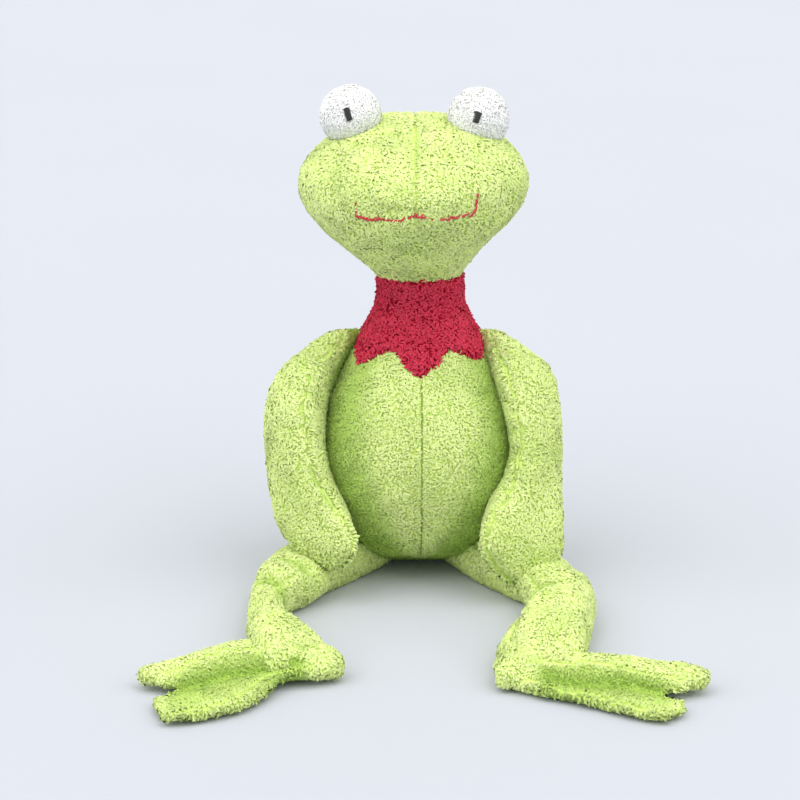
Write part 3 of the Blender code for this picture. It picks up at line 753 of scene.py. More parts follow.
def make_torso():
    """The torso's skin, which tucks in under the neck panel, and its pile below the zigzag."""
    angles = np.linspace(0, 2 * math.pi, 128, endpoint=False)
    heights = (0.3 + np.linspace(0, 1, 90) ** 0.75 * 134)[:, None] + 0 * angles
    tucked = -2.0 * step_up((heights - zigzag_at(angles)) / 3) - SWELL * step_up((105 - heights) / 20)
    torso = skin("torso_skin", trunk_at(heights, angles + 0 * heights, tucked), [LIME_GROUND])
    stuffed(torso, lambda points: step_up((points[:, 2] / MM - 92) / 14), 4.2)
    levels = np.linspace(*TRUNK_SEAM_LEVELS, 26)
    seams = [trunk_at(levels, np.full(26, turn)) / MM for turn in TRUNK_SEAM_TURNS]
    seams = seamed(torso, seams, 1.0, 1.2)
    set_points(torso, lifted_off_floor(points_of(torso)))

    def below_zigzag(spots):
        return (spots[:, 2] < (zigzag_at(turn_of(spots)) - 0.6) * MM) & (spots[:, 2] > 0.9 * MM)

    # Painted shade: the belly is darker at its sides, where the arms shade it, and low down near the
    # floor
    def painted_shade_under_arms(spots):
        turn, level = np.abs(turn_of(spots)), spots[:, 2] / MM
        arm_edge = 0.12 + 0.42 * step_up((level - 25) / 80)
        beside = step_up((turn - arm_edge) / 0.45) * step_up((1.7 - turn) / 0.7)
        below_neck = step_up((126 - level) / 12)
        low = step_up((36 - level) / 30)
        return np.clip(0.7 * beside * below_neck + 0.6 * low, 0, 0.85)

    stitches = sewn_line("torso_seam", torso, seams[0], GREEN_THREAD)
    return torso, stitches, *loops(
        "torso_pile", torso, LIME_LOOPS, 11, keep=below_zigzag, seams=seams, bare=0.1, painted_shade=painted_shade_under_arms
    )


def make_neck():
    """The red panel: from its six-pointed edge up to the head's seam."""
    angles = np.linspace(0, 2 * math.pi, 144, endpoint=False)
    shares = np.linspace(0, 1, 40)[:, None]
    low = zigzag_at(angles)
    heights = low + shares * (NECK_SEAM + 0.5 - low)
    swell = 0.6 * np.minimum(1, shares * 8)
    rings = trunk_at(heights, angles + 0 * heights, swell)
    rings[:, :, 2] += NECK_TILT * MM * np.cos(angles) * step_up((heights - 136) / 17)
    neck = skin("neck_skin", rings, [RED_GROUND])

    def on_panel(spots):
        turn = turn_of(spots)
        top = NECK_SEAM - 0.8 + NECK_TILT * np.cos(turn)
        return (spots[:, 2] > (zigzag_at(turn) + 0.2) * MM) & (spots[:, 2] < top * MM)

    return neck, *loops("neck_pile", neck, RED_LOOPS, 12, keep=on_panel, length=2.9, thick=1.1)


# Head. Height over the neck seam, middle across, half width, half depth, forward

HEAD_ROWS = (
    (-1.0, -0.6, 21.4, 20.6, 0.0),
    (3.1, -0.8, 22.4, 21.8, 0.9),
    (12.6, -2.0, 28.2, 28.0, 4.6),
    (24.2, -4.8, 40.0, 38.0, 9.2),
    (35.2, -3.4, 51.0, 45.6, 11.0),
    (46.4, -3.4, 57.6, 49.4, 10.6),
    (57.4, -3.2, 53.0, 45.2, 6.9),
    (67.6, -2.0, 42.4, 35.6, 1.8),
    (74.2, -1.6, 30.0, 24.0, -0.9),
    (75.6, -1.6, 14.2, 12.0, -1.8),
)
HEAD_SEAM_X = -2.6
SNOUT_HEIGHT = 43.0
MOUTH_HEIGHT = 40.8
# The head's seams run through places seen from inside it: first and last angle up, and which way
HEAD_SEAM_FROM = -6
HEAD_SEAM_SWEEPS = ((0, 90, -1), (-40, 90, 1))
# The dent over the mouth, across and above the corners, and a level in front of the face
CREASE_ACROSS = (-22, -12, -4, 4)
CREASE_RISE = 4.5
FACE_FRONT = -70


def make_head():
    """The head's skin, with its snout, the seam down its front and the dent over the mouth."""
    rows = through(HEAD_ROWS, 96)
    angles = np.linspace(0, 2 * math.pi, 144, endpoint=False)
    height, middle, wide, deep, forward = (rows[:, column][:, None] for column in range(5))
    inset = PILE_DEPTH + SWELL * step_up((height - 4) / 14)
    x = middle + np.sin(angles) * (wide - inset)
    y = -forward - np.cos(angles) * (deep - inset)
    front = np.clip(np.cos(angles), 0, 1) ** 1.5
    y = y - 2.5 * bell(x - HEAD_SEAM_X, 30) * bell(height - SNOUT_HEIGHT, 15) * front
    z = NECK_SEAM + height + NECK_TILT * np.cos(angles) * step_up((14 - height) / 14)
    head = skin("head_skin", np.stack([x, y, z + 0 * x], axis=-1) * MM, [LIME_GROUND])
    stuffed(head, lambda points: step_up((NECK_SEAM + 12 - points[:, 2] / MM) / 8), 4.2)
    surface = tree_of(head)
    middle = Vector((HEAD_SEAM_X, HEAD_SEAM_FROM, NECK_SEAM + SNOUT_HEIGHT)) * MM
    seams = []
    for first, last, way in HEAD_SEAM_SWEEPS:
        rays = [
            Vector((0, way * math.cos(angle), math.sin(angle)))
            for angle in np.radians(np.linspace(first, last, 24))
        ]
        seams.append([surface.ray_cast(middle, ray)[0] / MM for ray in rays])
    seams = seamed(head, seams, 0.7, 1.0)
    corners = NECK_SEAM + MOUTH_HEIGHT
    crease = [(across, FACE_FRONT, corners + CREASE_RISE) for across in CREASE_ACROSS]
    lips = [(across + MOUTH_SHIFT, FACE_FRONT, corners + rise) for across, rise in MOUTH_ROUTE]
    pressed(head, [laid_on(head, crease)], 1.5, 1.8)
    pressed(head, [laid_on(head, lips)], 0.7, 1.6)
    return head, *loops("head_pile", head, LIME_LOOPS, 13, seams=seams)


# Eyes, pupils and mouth

EYE_RADIUS = 15.5
EYE_SPREAD = 30.8
EYE_SHIFT = -3.0
EYE_FORWARD = 5.0
EYE_HEIGHT = {"left": 233.5, "right": 232.4}
# Turn to the left, lift above level, lean of the bar's foot, in degrees
PUPIL_AIM = {"left": (4, 13.5, 17), "right": (4, 11.5, -20)}
PUPIL_LENGTH = {"left": 5.9, "right": 4.9}
PUPIL_WIDTH = 2.8


def eye_centre(side):
    across = SIDES[side] * EYE_SPREAD + EYE_SHIFT
    return np.array([across, -EYE_FORWARD, EYE_HEIGHT[side]])


def eye_axes(side):
    """The way an eye looks, the way its bar runs down, and across it."""
    turn, lift, lean = (math.radians(angle) for angle in PUPIL_AIM[side])
    ahead = Vector((-math.sin(turn), -math.cos(turn), math.tan(lift))).normalized()
    down = Vector((math.sin(lean), 0, -math.cos(lean)))
    down = (down - ahead * down.dot(ahead)).normalized()
    return np.array(ahead), np.array(down), np.array(down.cross(ahead))


def make_eye(side):
    """A stuffed white ball, with its pile trimmed where the pupil is stitched."""
    centre = eye_centre(side)
    ahead, down, across = eye_axes(side)
    tilt = np.linspace(0.02, math.pi - 0.02, 40)
    radius = EYE_RADIUS - PILE_DEPTH - 0.4
    centres = (centre - np.cos(tilt)[:, None] * np.array([0, 0, radius])) * MM
    level = np.sin(tilt) * radius * MM
    sides = np.tile([1.0, 0, 0], (40, 1))
    ups = np.tile([0, 1.0, 0], (40, 1))
    ball = skin(f"eye_{side}_skin", ellipse_rings(centres, sides, ups, level, level, 56), [WHITE_GROUND])
    stuffed(ball, cell=2.6, cap=0.8, spare=0.03)

    def round_pupil(spots):
        from_centre = spots / MM - centre
        along = from_centre @ down
        beside = from_centre @ across
        inside = (np.abs(along) < PUPIL_LENGTH[side] / 2) & (np.abs(beside) < PUPIL_WIDTH / 2)
        return ~(inside & (from_centre @ ahead > 0))

    return ball, *loops(
        f"eye_{side}_pile", ball, WHITE_LOOPS, 20 + SIDES[side], spacing=0.66, length=1.9,
        thick=0.75, keep=round_pupil,
    )


def make_pupil(side):
    """A bar of black satin stitches laid side by side across the eye."""
    centre = eye_centre(side)
    ahead, down, across = eye_axes(side)
    rng = np.random.default_rng(40 + SIDES[side])
    routes = []
    rows = 16
    for row in range(rows):
        along = (row / (rows - 1) - 0.5) * PUPIL_LENGTH[side]
        hook = 1.2 if side == "right" and row < 3 else 0.0
        shift = rng.normal() * 0.12
        points = []
        for step in np.linspace(-1, 1, 7):
            beside = step * PUPIL_WIDTH / 2 + shift + hook * 0.5 * (1 + step)
            from_middle = ahead + down * (along / EYE_RADIUS) + across * (beside / EYE_RADIUS)
            from_middle /= np.linalg.norm(from_middle)
            height = EYE_RADIUS - 0.75 + 0.9 * math.cos(step * 1.3)
            points.append((centre + from_middle * height) * MM)
        routes.append(points)
    return stitch_tube(f"pupil_{side}_stitches", routes, PUPIL_THREAD * MM, BLACK_THREAD)


# Mouth: across the middle of the face, over the corner's rise, in millimetres
MOUTH_ROUTE = (
    (-28.0, 7.0),
    (-27.8, 3.6),
    (-27.2, 0.4),
    (-20.5, -0.2),
    (-13.0, -0.4),
    (-8.0, -0.3),
    (-5.0, 0.6),
    (-2.0, 1.9),
    (1.0, 2.2),
    (4.5, 1.0),
    (8.0, 0.5),
    (14.5, 0.3),
    (19.0, 0.8),
    (24.0, 1.9),
    (26.6, 1.8),
    (27.6, 5.2),
    (28.6, 10.2),
)
MOUTH_SHIFT = -2.6
STITCH_LENGTH = 2.1
STITCH_RADIUS = 0.55


def make_mouth(head):
    """The red embroidered line: slanted stitches, half sunk in the pile."""
    surface = tree_of(head)
    rng = np.random.default_rng(51)
    route = np.array(MOUTH_ROUTE)
    lengths = np.concatenate([[0], np.cumsum(np.linalg.norm(np.diff(route, axis=0), axis=1))])
    routes = []
    for start in np.arange(0, lengths[-1] - 0.6, STITCH_LENGTH * 0.8):
        lean = rng.normal(0.55, 0.3)
        sink = rng.uniform(-2.0, 0.2)
        points = []
        for share in np.linspace(0, 1, 6):
            at = min(start + share * STITCH_LENGTH, lengths[-1])
            across = np.interp(at, lengths, route[:, 0]) + MOUTH_SHIFT
            rise = np.interp(at, lengths, route[:, 1]) + lean * (share - 0.5) * 2
            origin = Vector((across, -100, NECK_SEAM + MOUTH_HEIGHT + rise)) * MM
            spot, normal, _, _ = surface.ray_cast(origin, Vector((0, 1, 0)))
            proud = PILE_DEPTH + 0.35 + sink + 0.6 * math.sin(share * math.pi)
            points.append(spot + normal * proud * MM)
        routes.append(points)
    return stitch_tube("mouth_stitches", routes, STITCH_RADIUS * MM, RED_THREAD)


def make_loose_thread():
    """A tiny end of red yarn that sticks out where the neck meets the left shoulder."""
    start = trunk_at(np.array([129.0]), np.array([-1.5]), 0.5)[0]
    turns = ((0, 0, 0), (-1.6, -0.4, 0.8), (-2.6, -0.6, 0.2), (-2.2, -1.0, -0.9), (-3.2, -1.2, -1.6))
    curl = start + through(turns, 14) * MM
    return stitch_tube("loose_thread", [curl], YARN_END * MM, RED_THREAD)


# Arms. Height, outer and inner edge, how far they reach back and forward, and across to the ridge

ARM_ROWS = {
    "left": (
        (125, 45, 31, 2, 8, 35),
        (123.5, 49.5, 29, 5, 13, 37),
        (118, 55.5, 35.5, 8, 22, 46.5),
        (112, 64, 41.5, 10, 28, 52.5),
        (105, 72, 45.5, 12, 33, 56),
        (92, 77, 46.5, 13, 39, 57),
        (75, 77.5, 48.5, 11, 45, 55),
        (58, 75.5, 45.5, 5, 49, 48.5),
        (45, 74, 37.5, -3, 53, 38),
        (35, 71.5, 31.5, -12, 56, 32),
        (27, 64, 32, -24, 57, 33),
        (20, 53.5, 37, -34, 55, 38),
    ),
    "right": (
        (125, 39, 29, 2, 8, 33),
        (123.5, 43.5, 28, 5, 13, 34),
        (118, 50, 30, 8, 22, 38),
        (112.5, 60, 33, 10, 28, 42),
        (106, 67, 36, 12, 33, 45),
        (92, 69.5, 40.5, 13, 39, 48),
        (76, 70, 45.5, 11, 45, 49),
        (62, 70, 45, 6, 49, 46),
        (50, 70.5, 36, -2, 54, 36.5),
        (40, 71, 30, -10, 58, 31),
        (31, 71.5, 30, -18, 60, 31),
        (22, 71, 33.5, -28, 59, 35),
        (14, 65, 40, -38, 57, 43),
        (10, 55, 46, -44, 54, 49),
    ),
}
# The seam, the hem behind and the raised lip in front, as turns round the arm from its front
ARM_SEAM_TURN = 0.12
ARM_HEM_TURN = math.pi
ARM_LIP_TURN = -0.22
ARM_TAPER = 0.45
# How far the arm's back leans in to the body at the shoulder
SHOULDER_LEAN = {"left": 19, "right": 12}
# How far out the painted shade behind the shoulder's front reaches
SHADE_EDGE = {"left": 47, "right": 37}


def arm_section(side, rows, angles, inset):
    """Points round the arm at each row: a flat inner face, a slanted outer one, a ridge in front."""
    height, outer, inner, back, front, ridge = (rows[:, column][:, None] for column in range(6))
    half = np.maximum((outer - inner) / 2 - inset, 0.8)
    deep = np.maximum((back + front) / 2 - inset, 0.8)
    lean = (outer + inner) / 2 - ridge
    ahead, behind = np.maximum(np.cos(angles), 0) ** 1.5, np.maximum(-np.cos(angles), 0)
    x = (outer + inner) / 2 + half * np.sin(angles) * (1 - ARM_TAPER * ahead) - lean * ahead
    x = x - SHOULDER_LEAN[side] * step_up((height - 80) / 25) * behind
    y = (back - front) / 2 - deep * np.cos(angles)
    return np.stack([SIDES[side] * x, y, height + 0 * x], axis=-1) * MM


def make_arm(side):
    """A soft flipper from the shoulder seam down to the hand on the thigh."""
    rows = through(ARM_ROWS[side], 80)
    angles = np.linspace(0, 2 * math.pi, 64, endpoint=False)
    inset = PILE_DEPTH + SWELL
    arm = skin(f"arm_{side}_skin", arm_section(side, rows, angles, inset), [LIME_GROUND])
    stuffed(arm, cap=2.0)
    seam, hem, lip = (
        arm_section(side, rows[6:], np.array([turn]), inset)[:, 0] / MM
        for turn in (ARM_SEAM_TURN, ARM_HEM_TURN, ARM_LIP_TURN)
    )
    lip = laid_on(arm, lip[4:])
    pressed(arm, [lip], -0.9, 2.2)
    seams = seamed(arm, [seam, hem], 1.5, 1.7)

    # Painted shade in the crevice behind the arm's front lip at the shoulder
    def painted_shade_behind_lip(spots):
        level = spots[:, 2] / MM
        shade_edge = SHADE_EDGE[side] + 0.34 * (97 - level)
        return 0.8 * step_up((shade_edge - np.abs(spots[:, 0]) / MM) / 3) * step_up((level - 88) / 6)

    return arm, *loops(
        f"arm_{side}_pile", arm, LIME_LOOPS, 60 + SIDES[side], seams=seams, fringes=[lip], bare=0.35,
        painted_shade=painted_shade_behind_lip,
    )


# Legs. Across, forward, half width and half height along each limb

THIGH_ROWS = {
    "left": (
        (20, -10, 10, 9),
        (28, -2, 16, 11),
        (41, 12, 18.5, 12),
        (53.5, 28, 18.5, 12),
        (61, 40, 18, 12),
        (62, 50, 15, 11),
        (60, 56, 8, 8),
    ),
    "right": (
        (18, -10, 10, 9),
        (26, -2, 16, 11),
        (37, 13, 19.5, 12),
        (50, 31, 20, 11.2),
        (61, 46, 19, 10.6),
        (65, 58, 16, 10),
        (64, 66, 9, 7),
    ),
}
SHIN_ROWS = {
    "left": (
        (60, 34, 13, 8),
        (61, 43, 19.5, 11.5),
        (63, 51, 17.5, 12.5),
        (66.5, 58, 14.5, 12.5),
        (70.5, 65, 11, 12),
        (72.8, 74, 8.8, 11.5),
        (73, 88, 8.6, 11.5),
        (73, 98, 8.6, 11.5),
        (71.5, 106, 10, 11.5),
        (68.5, 114, 13, 11.5),
        (65, 122, 16, 11),
        (62, 128, 18.5, 9.5),
        (59.5, 134, 18, 8),
        (58, 141, 11, 5.5),
    ),
    "right": (
        (65, 48, 13, 8),
        (66, 57, 18, 10.5),
        (66.5, 68, 18.5, 11.5),
        (67, 80, 18.3, 12),
        (66, 93, 19, 12),
        (63.5, 106, 20, 11.5),
        (60, 119, 21, 11.5),
        (56, 130, 22, 10.2),
        (52.5, 141, 22, 8.4),
        (51, 150, 12, 5.5),
    ),
}
# Where each limb's seam runs round it, in degrees up from its outer side
LIMB_SEAM_TURN = 48
# Folds across a limb: the route of each, its depth, which is less than nothing where it stands
# up, and its width
LIMB_FOLDS = {
    "shin_left": (
        (((57, -84, 16), (66, -78, 22), (77, -72, 20)), 3.4, 3.6),
        (((50, -70, 20), (62, -66, 24), (74, -62, 21)), -1.8, 4.6),
        (((54, -60, 20), (62, -56, 24), (70, -50, 22)), 1.6, 3.0),
    ),
    "shin_right": (
        (((49, -88, 22), (58, -85, 24), (70, -82, 22)), 3.6, 3.4),
        (((50, -76, 22), (60, -73, 24), (70, -73, 22)), -1.9, 4.0),
        (((47, -104, 22), (58, -101, 24), (68, -101, 22)), -1.8, 4.5),
        (((54, -66, 22), (61, -65, 25), (69, -61, 22)), 3.2, 3.0),
    ),
}
# Painted shade in the dips of the folds: how far it reaches, and how dark it is
DIP_REACH = 2.6
DIP_SHADE = 0.75


def limb_rings(table, sign, inset, count, angles):
    """Rings round a limb that lies on the floor, and the way they face."""
    rows = through(table, count)
    across, forward, wide, tall = (rows[:, column] for column in range(4))
    tall = np.maximum(tall - inset / 2, 1.0)
    centres = np.column_stack([sign * across, -forward, tall + FLOOR_GAP]) * MM
    ahead = np.gradient(centres[:, :2], axis=0)
    ahead /= np.linalg.norm(ahead, axis=1, keepdims=True)
    outward = np.column_stack([-sign * -ahead[:, 1], -sign * ahead[:, 0], 0 * wide])
    wide = np.maximum(wide - inset, 1.0) * MM
    aside = np.cos(angles)[None, :, None] * (wide[:, None] * outward)[:, None, :]
    upward = np.sin(angles)[None, :, None] * (tall * MM)[:, None, None] * np.array([0, 0, 1.0])
    return centres[:, None, :] + aside + upward


def make_limb(name, side, table, seed):
    """A soft tube that lies on the floor, rounded at both ends."""
    sign = SIDES[side]
    inset = PILE_DEPTH + 0.4
    angles = np.linspace(0, 2 * math.pi, 56, endpoint=False)
    limb = skin(f"{name}_skin", limb_rings(table, sign, inset, 56, angles), [LIME_GROUND])
    stuffed(limb, cap=2.0)
    set_points(limb, lifted_off_floor(points_of(limb)))
    turn = np.array([math.radians(LIMB_SEAM_TURN)])
    seam = limb_rings(table, sign, inset, 24, turn)[4:-3, 0] / MM
    folds = LIMB_FOLDS.get(name, ())
    for route, depth, width in folds:
        pressed(limb, [laid_on(limb, [(sign * x, y, z) for x, y, z in route])], depth, width)
    dips = [
        laid_on(limb, [(sign * x, y, z) for x, y, z in through(route, 12)])
        for route, depth, _ in folds if depth > 0
    ]

    # Painted shade along the dips of the folds
    def painted_shade_in_dips(spots):
        near = [bell(nearest_on(spots, dip)[1], DIP_REACH * MM) for dip in dips]
        return DIP_SHADE * np.max([0 * spots[:, 0], *near], axis=0)

    seams = seamed(limb, [seam], 0.8, 1.2)
    return limb, *loops(f"{name}_pile", limb, LIME_LOOPS, seed, seams=seams, bare=0.1, painted_shade=painted_shade_in_dips)


# Feet. Rolls of padding: across, forward, level of the middle, half width, half height

FOOT_ROLLS = {
    "left": {
        "far_toe": (
            (42, 145, 9, 9, 8),
            (52, 136, 8.4, 10, 8),
            (66, 129, 7, 9.5, 7),
            (80, 128.5, 6.6, 9.5, 6.4),
            (93, 134, 6.6, 9, 6.4),
            (104, 144, 6.6, 8.5, 6.4),
            (114, 152, 6.6, 8, 6),
            (122, 154, 7, 7, 5.6),
            (128, 155.5, 7, 5, 4.6),
        ),
        "crest": (
            (36, 147, 7.5, 6, 7),
            (46, 143, 8.6, 5.5, 6),
            (58, 138.5, 7.6, 5, 5.6),
            (70, 137.5, 7.8, 4.8, 5.6),
            (82, 137.5, 8.8, 4.8, 5.8),
            (92, 141, 9, 4.8, 5.8),
            (100, 148, 8.4, 4.6, 5.4),
            (107, 154.5, 7.4, 4.5, 5),
            (113, 160, 6, 4.5, 4.6),
            (119, 161, 5.5, 3, 3.5),
        ),
        "near_flap": (
            (44, 148, 6, 5, 4),
            (54, 148, 7, 5, 3.8),
            (64, 150, 6.6, 6, 3.8),
            (73, 158, 5, 11, 3.6),
            (82, 166, 4.4, 18, 3.6),
            (92, 172, 4, 20, 3.6),
            (103, 178, 3.8, 18, 3.6),
            (112, 182, 3.8, 16, 3.6),
            (118, 184, 4, 9, 3.2),
        ),
        "near_edge": (
            (41, 150, 6.4, 3.5, 4.6),
            (48, 153, 8, 3.2, 4),
            (57, 155, 9, 3, 3.8),
            (65, 157, 8.6, 3, 3.8),
            (71, 163, 7.6, 3, 4),
            (75, 172, 6.8, 3, 4.2),
            (80, 183, 6.2, 3, 4.4),
            (90, 190, 5.6, 3, 4.4),
            (103, 195, 5.2, 3, 4.2),
            (115, 197, 4.8, 3, 3.8),
        ),
        "hollow_floor": (
            (44, 144, 4.4, 7, 3.4),
            (60, 142, 4.6, 11, 3.4),
            (75, 145, 4, 15, 3.4),
            (88, 157, 3.6, 24, 3.4),
            (98, 163, 3.6, 22, 3.4),
            (106, 168, 3.6, 13, 3.4),
        ),
    },
    "right": {
        "far_toe": (
            (36, 152, 8, 9, 7.5),
            (50, 144.5, 6.8, 9, 6.8),
            (66, 142.5, 6.2, 8.5, 6.2),
            (80, 142.5, 6, 8.5, 5.8),
            (94, 144, 6, 8.5, 5.8),
            (106, 149, 6, 8, 5.6),
            (115, 154, 7.2, 8.5, 6),
            (122, 159, 7.8, 9, 6.2),
            (128, 161, 7.4, 6, 5.2),
        ),
        "crest": (
            (34, 158, 7, 6, 6.5),
            (46, 153.5, 8.4, 5, 5.8),
            (60, 150.5, 8.6, 4.8, 5.6),
            (72, 151, 7.8, 4.8, 5.4),
            (84, 152, 7.2, 4.8, 5.2),
            (95, 154.5, 6.6, 4.8, 5),
            (105, 159, 6.2, 4.6, 4.8),
            (113, 166, 7, 4.5, 4.8),
            (119, 168, 6, 3, 3.5),
        ),
        "near_flap": (
            (44, 160, 4.4, 5, 4),
            (58, 163, 4.2, 7, 3.8),
            (70, 168, 4, 9, 3.6),
            (80, 172, 3.8, 11, 3.6),
            (92, 177, 3.8, 13.5, 3.6),
            (102, 181, 3.8, 14, 3.6),
            (110, 184, 3.8, 12, 3.6),
            (115, 185, 4, 7, 3.2),
        ),
        "near_edge": (
            (38, 158, 5.6, 3, 4.6),
            (48, 164, 5.6, 3, 4.4),
            (58, 169, 5.6, 3, 4.4),
            (68, 174, 5.4, 3, 4.4),
            (78, 179, 5.4, 3, 4.4),
            (89, 187, 5.2, 3, 4.4),
            (99, 193, 5, 3, 4.2),
            (108, 195, 4.8, 3, 3.8),
        ),
        "hollow_floor": (
            (44, 156, 3.8, 8, 3.4),
            (60, 157, 3.8, 12, 3.4),
            (75, 160, 3.7, 16, 3.4),
            (90, 166, 3.6, 19, 3.4),
            (100, 170, 3.6, 16, 3.4),
            (107, 173, 3.6, 9, 3.4),
        ),
    },
}
# The hollow along the foot's long fold, across and forward
FOOT_HOLLOW = {
    "left": ((50, 143), (60, 143), (70, 143), (80, 145), (90, 149), (99, 156), (107, 162), (112, 166)),
    "right": ((50, 158), (60, 157), (72, 157.5), (84, 158.5), (96, 161), (104, 165), (109, 169)),
}
FOOT_CELL = 1.6
# How deep the hollow is, how wide its slopes on the crest's side and the flap's, and the level
# that it leaves over the floor
HOLLOW_DEPTH = 6.5
HOLLOW_SLOPES = (1.8, 10.0)
HOLLOW_LEVEL = 2.8
# How far the painted shade in the hollow reaches up the crest and over the near flap
CREST_SHADE = 4.0
FLAP_SHADE = {"left": 34, "right": 24}
# The seams along two of the rolls: how far back and how far above its middle
FOOT_SEAMS = (("crest", 3.0, 9), ("near_edge", 0.0, 4))
RIM_FORWARD = 3
RIM_LEVEL = 3
# How high the painted shade in the hollow reaches
SHADE_TOP = 11


def foot_roll(name, table, sign):
    rows = through(table, 36)
    across, forward, level, wide, tall = (rows[:, column] for column in range(5))
    centres = np.column_stack([sign * across, -forward, level]) * MM
    ahead = np.gradient(centres[:, :2], axis=0)
    ahead /= np.linalg.norm(ahead, axis=1, keepdims=True)
    sides = np.column_stack([ahead[:, 1], -ahead[:, 0], 0 * wide])
    ups = np.tile([0.0, 0, 1], (len(rows), 1))
    wide = np.maximum(wide - PILE_DEPTH, 0.8) * MM
    tall = np.maximum(tall - PILE_DEPTH * 1.2, 1.6) * MM
    return skin(name, ellipse_rings(centres, sides, ups, wide, tall, 28), [LIME_GROUND])


def past_hollow(points, sign, route):
    """How far across each point lies, and how far in front of the hollow's line."""
    across, ahead = sign * points[:, 0] / MM, -points[:, 1] / MM
    line = np.array(route)
    return across, ahead - np.interp(across, line[:, 0], line[:, 1])


def hollowed(foot, sign, route):
    """Sinks the top of the near flap beside the crest, steeply on the crest's side."""
    points, normals = points_of(foot), normals_of(foot)
    across, beyond = past_hollow(points, sign, route)
    slope = np.where(beyond > 0, HOLLOW_SLOPES[1], HOLLOW_SLOPES[0])
    along = step_up((across - route[0][0] - 2) / 14) * step_up((route[-1][0] + 8 - across) / 8)
    drop = HOLLOW_DEPTH * MM * bell(beyond, slope) * along * step_up(normals[:, 2] * 2 + 0.6)
    low = np.minimum(points[:, 2], HOLLOW_LEVEL * MM)
    return set_points(foot, np.column_stack([points[:, :2], np.maximum(points[:, 2] - drop, low)]))


def make_foot(side):
    """The webbed foot: doubled over along its length, with its seamed edges standing up."""
    sign = SIDES[side]
    rolls = [foot_roll(name, table, sign) for name, table in FOOT_ROLLS[side].items()]
    cage = bmesh.new()
    for roll in rolls:
        cage.from_mesh(roll.data)
        bpy.data.objects.remove(roll, do_unlink=True)
    foot = mesh_piece(f"foot_{side}_skin", [], [], [LIME_GROUND])
    cage.to_mesh(foot.data)
    cage.free()
    one_skin(foot, FOOT_CELL)
    stuffed(foot, cell=FOOT_CELL + 0.4, cap=0.9, spare=0.04)
    hollowed(foot, sign, FOOT_HOLLOW[side])
    set_points(foot, lifted_off_floor(points_of(foot)))
    crest, edge = (
        [(sign * x, -y - shift, z + rise) for x, y, z, *_ in through(FOOT_ROLLS[side][name], 30)[4:-3]]
        for name, shift, rise in FOOT_SEAMS
    )
    seams = seamed(foot, [crest, edge], 0.9, 1.1)
    rim = laid_on(foot, [(x, y - RIM_FORWARD, RIM_LEVEL) for x, y, _ in edge])

    # Painted shade in the hollow, where the crest shades the near flap
    def painted_shade_in_hollow(spots):
        route = FOOT_HOLLOW[side]
        across, beyond = past_hollow(spots, sign, route)
        along = step_up((across - route[0][0] + 2) / 8) * step_up((route[-1][0] + 4 - across) / 8)
        shade = bell(beyond, np.where(beyond > 0, FLAP_SHADE[side], CREST_SHADE))
        return 0.9 * along * shade * (spots[:, 2] < SHADE_TOP * MM)

    return foot, *loops(
        f"foot_{side}_pile", foot, LIME_LOOPS, 80 + sign, length=2.0, seams=seams, fringes=[rim],
        bare=0.1, painted_shade=painted_shade_in_hollow,
    )


# Stage. The floor is flat out to a radius, and then sweeps up, in metres

FLAT_FLOOR = 5.0
SWEEP_REACH = 13.0
SWEEP_HEIGHT = 4.5
# The tent's light from level to overhead
TENT_GLOW = (
    (0.0, (1.06, 1.11, 1.0, 1)),
    (0.5, (0.81, 0.85, 0.775, 1)),
    (1.0, (0.515, 0.54, 0.49, 1)),
)
# Each soft light's lean from overhead and turn, in degrees, and its strength
SOFT_LIGHTS = (
    ("top_soft_light", 12, 0, 1.2),
    ("left_soft_light", 50, -58, 1.08),
    ("right_soft_light", 50, 60, 1.08),
)
SOFT_LIGHT_SPREAD = 65
DAYLIGHT = (1.0, 0.975, 1.02)


def make_floor():
    """A wide pale table top that sweeps up into a backdrop, far out."""
    radii = np.linspace(SWEEP_REACH, FLAT_FLOOR, 24)
    rises = SWEEP_HEIGHT * ((radii - FLAT_FLOOR) / (SWEEP_REACH - FLAT_FLOOR)) ** 2
    around = 96
    angles = np.linspace(0, 2 * math.pi, around, endpoint=False)
    points = [
        (radius * math.cos(angle), radius * math.sin(angle), rise)
        for radius, rise in zip(radii, rises) for angle in angles
    ]
    middle = tuple(range(len(points) - around, len(points)))
    made = Surface("pale_table", 0.7, Specular_IOR_Level=0.1)
    cloudy = made.noise(3.0, 2.0)
    dim = tuple(channel - 3 for channel in FLOOR_PALE)
    made.colour(made.mix(cloudy, linear(dim), linear(FLOOR_PALE)))
    faces = [*bands(len(radii), around), middle]
    mesh_piece("table", points, faces, [made.material])


def make_lights():
    """A bright tent: light all round, most from low down, and broad soft lights from above."""
    world = bpy.data.worlds.new("tent")
    world.use_nodes = True
    tent = Nodes(world.node_tree)
    way = tent.node("ShaderNodeTexCoord", output="Generated")
    height = tent.node("ShaderNodeSeparateXYZ", None, [way], "Z")
    glow = tent.node("ShaderNodeValToRGB", {"stops": TENT_GLOW}, [height])
    tent.feed(tent.tree.nodes["Background"].inputs["Color"], glow)
    bpy.context.scene.world = world
    for name, lean, turn, strength in SOFT_LIGHTS:
        lamp = bpy.data.lights.new(name, "SUN")
        lamp.energy = strength
        lamp.color = DAYLIGHT
        lamp.angle = math.radians(SOFT_LIGHT_SPREAD)
        holder = bpy.data.objects.new(name, lamp)
        holder.rotation_euler = (math.radians(lean), 0, math.radians(turn))
        bpy.context.scene.collection.objects.link(holder)


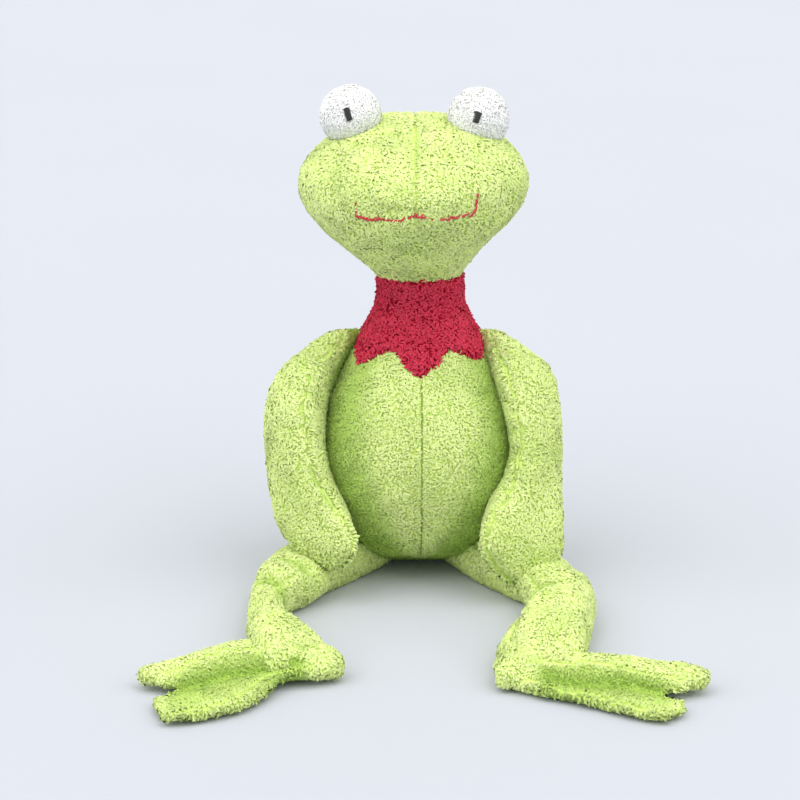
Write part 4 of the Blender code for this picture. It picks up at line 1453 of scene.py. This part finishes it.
def make_camera():
    eye = bpy.data.cameras.new("camera")
    eye.lens = LENS_MM
    eye.sensor_width = SENSOR_MM
    tilt = math.radians(VIEW_ELEVATION)
    holder = bpy.data.objects.new("camera", eye)
    holder.location = VIEW_TARGET + VIEW_DISTANCE * Vector((0, -math.cos(tilt), math.sin(tilt)))
    holder.rotation_euler = (math.pi / 2 - tilt, 0, 0)
    bpy.context.scene.collection.objects.link(holder)
    bpy.context.scene.camera = holder


# Putting it together


def dress(pieces, body, nodes=(), bend=None):
    """Ties pieces to a body, or bakes their place in where they span a joint; hides the nodes they stand
    for.
    """
    for piece in pieces:
        if bend:
            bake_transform(piece)
        else:
            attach(piece, body)
    if nodes:
        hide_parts(*nodes)


def across_joint(name, shift):
    """The two bodies of a joint, and two points shifted each way from the joint's middle."""
    joint = next(joint for joint in frame["joints"] if joint["name"] == name)
    middle = Vector(joint["pos_m"])
    shift = Vector(shift) * MM
    return joint["parent"], joint["child"], tuple(middle - shift), tuple(middle + shift)


make_camera()
make_floor()
make_lights()
bpy.context.scene.view_settings.view_transform = "Standard"

dress(make_torso(), "torso", ("torso_cover", "torso_filling"))
dress(
    make_neck(), None, ("neck_panel",),
    ("torso", "head", (0, 0, 0.132), (0, 0, NECK_SEAM * MM)),
)
dress([make_loose_thread()], "torso")
head_pieces = make_head()
dress(head_pieces, "head", ("head_cover", "head_filling"))
dress([make_mouth(head_pieces[0])], "head", ("mouth_thread",))
for side, sign in SIDES.items():
    dress(make_eye(side), "head", (f"eye_{side}",))
    dress([make_pupil(side)], "head", (f"pupil_{side}",))
    lift = across_joint(f"{side}_arm_lift", (sign * 4, 0, -14))
    dress(make_arm(side), None, (f"arm_{side}",), lift)
    spread = across_joint(f"{side}_hip", (sign * 6, -10, 0))
    thigh = make_limb(f"thigh_{side}", side, THIGH_ROWS[side], 100 + sign)
    dress(thigh, None, (f"thigh_{side}",), spread)
    fold = across_joint(f"{side}_knee", (sign * 2, -10, 0))
    shin = make_limb(f"shin_{side}", side, SHIN_ROWS[side], 110 + sign)
    dress(shin, None, (f"shin_{side}",), fold)
    step = across_joint(f"{side}_ankle", (sign * 9, -4, 0))
    dress(make_foot(side), None, (f"foot_{side}",), step)
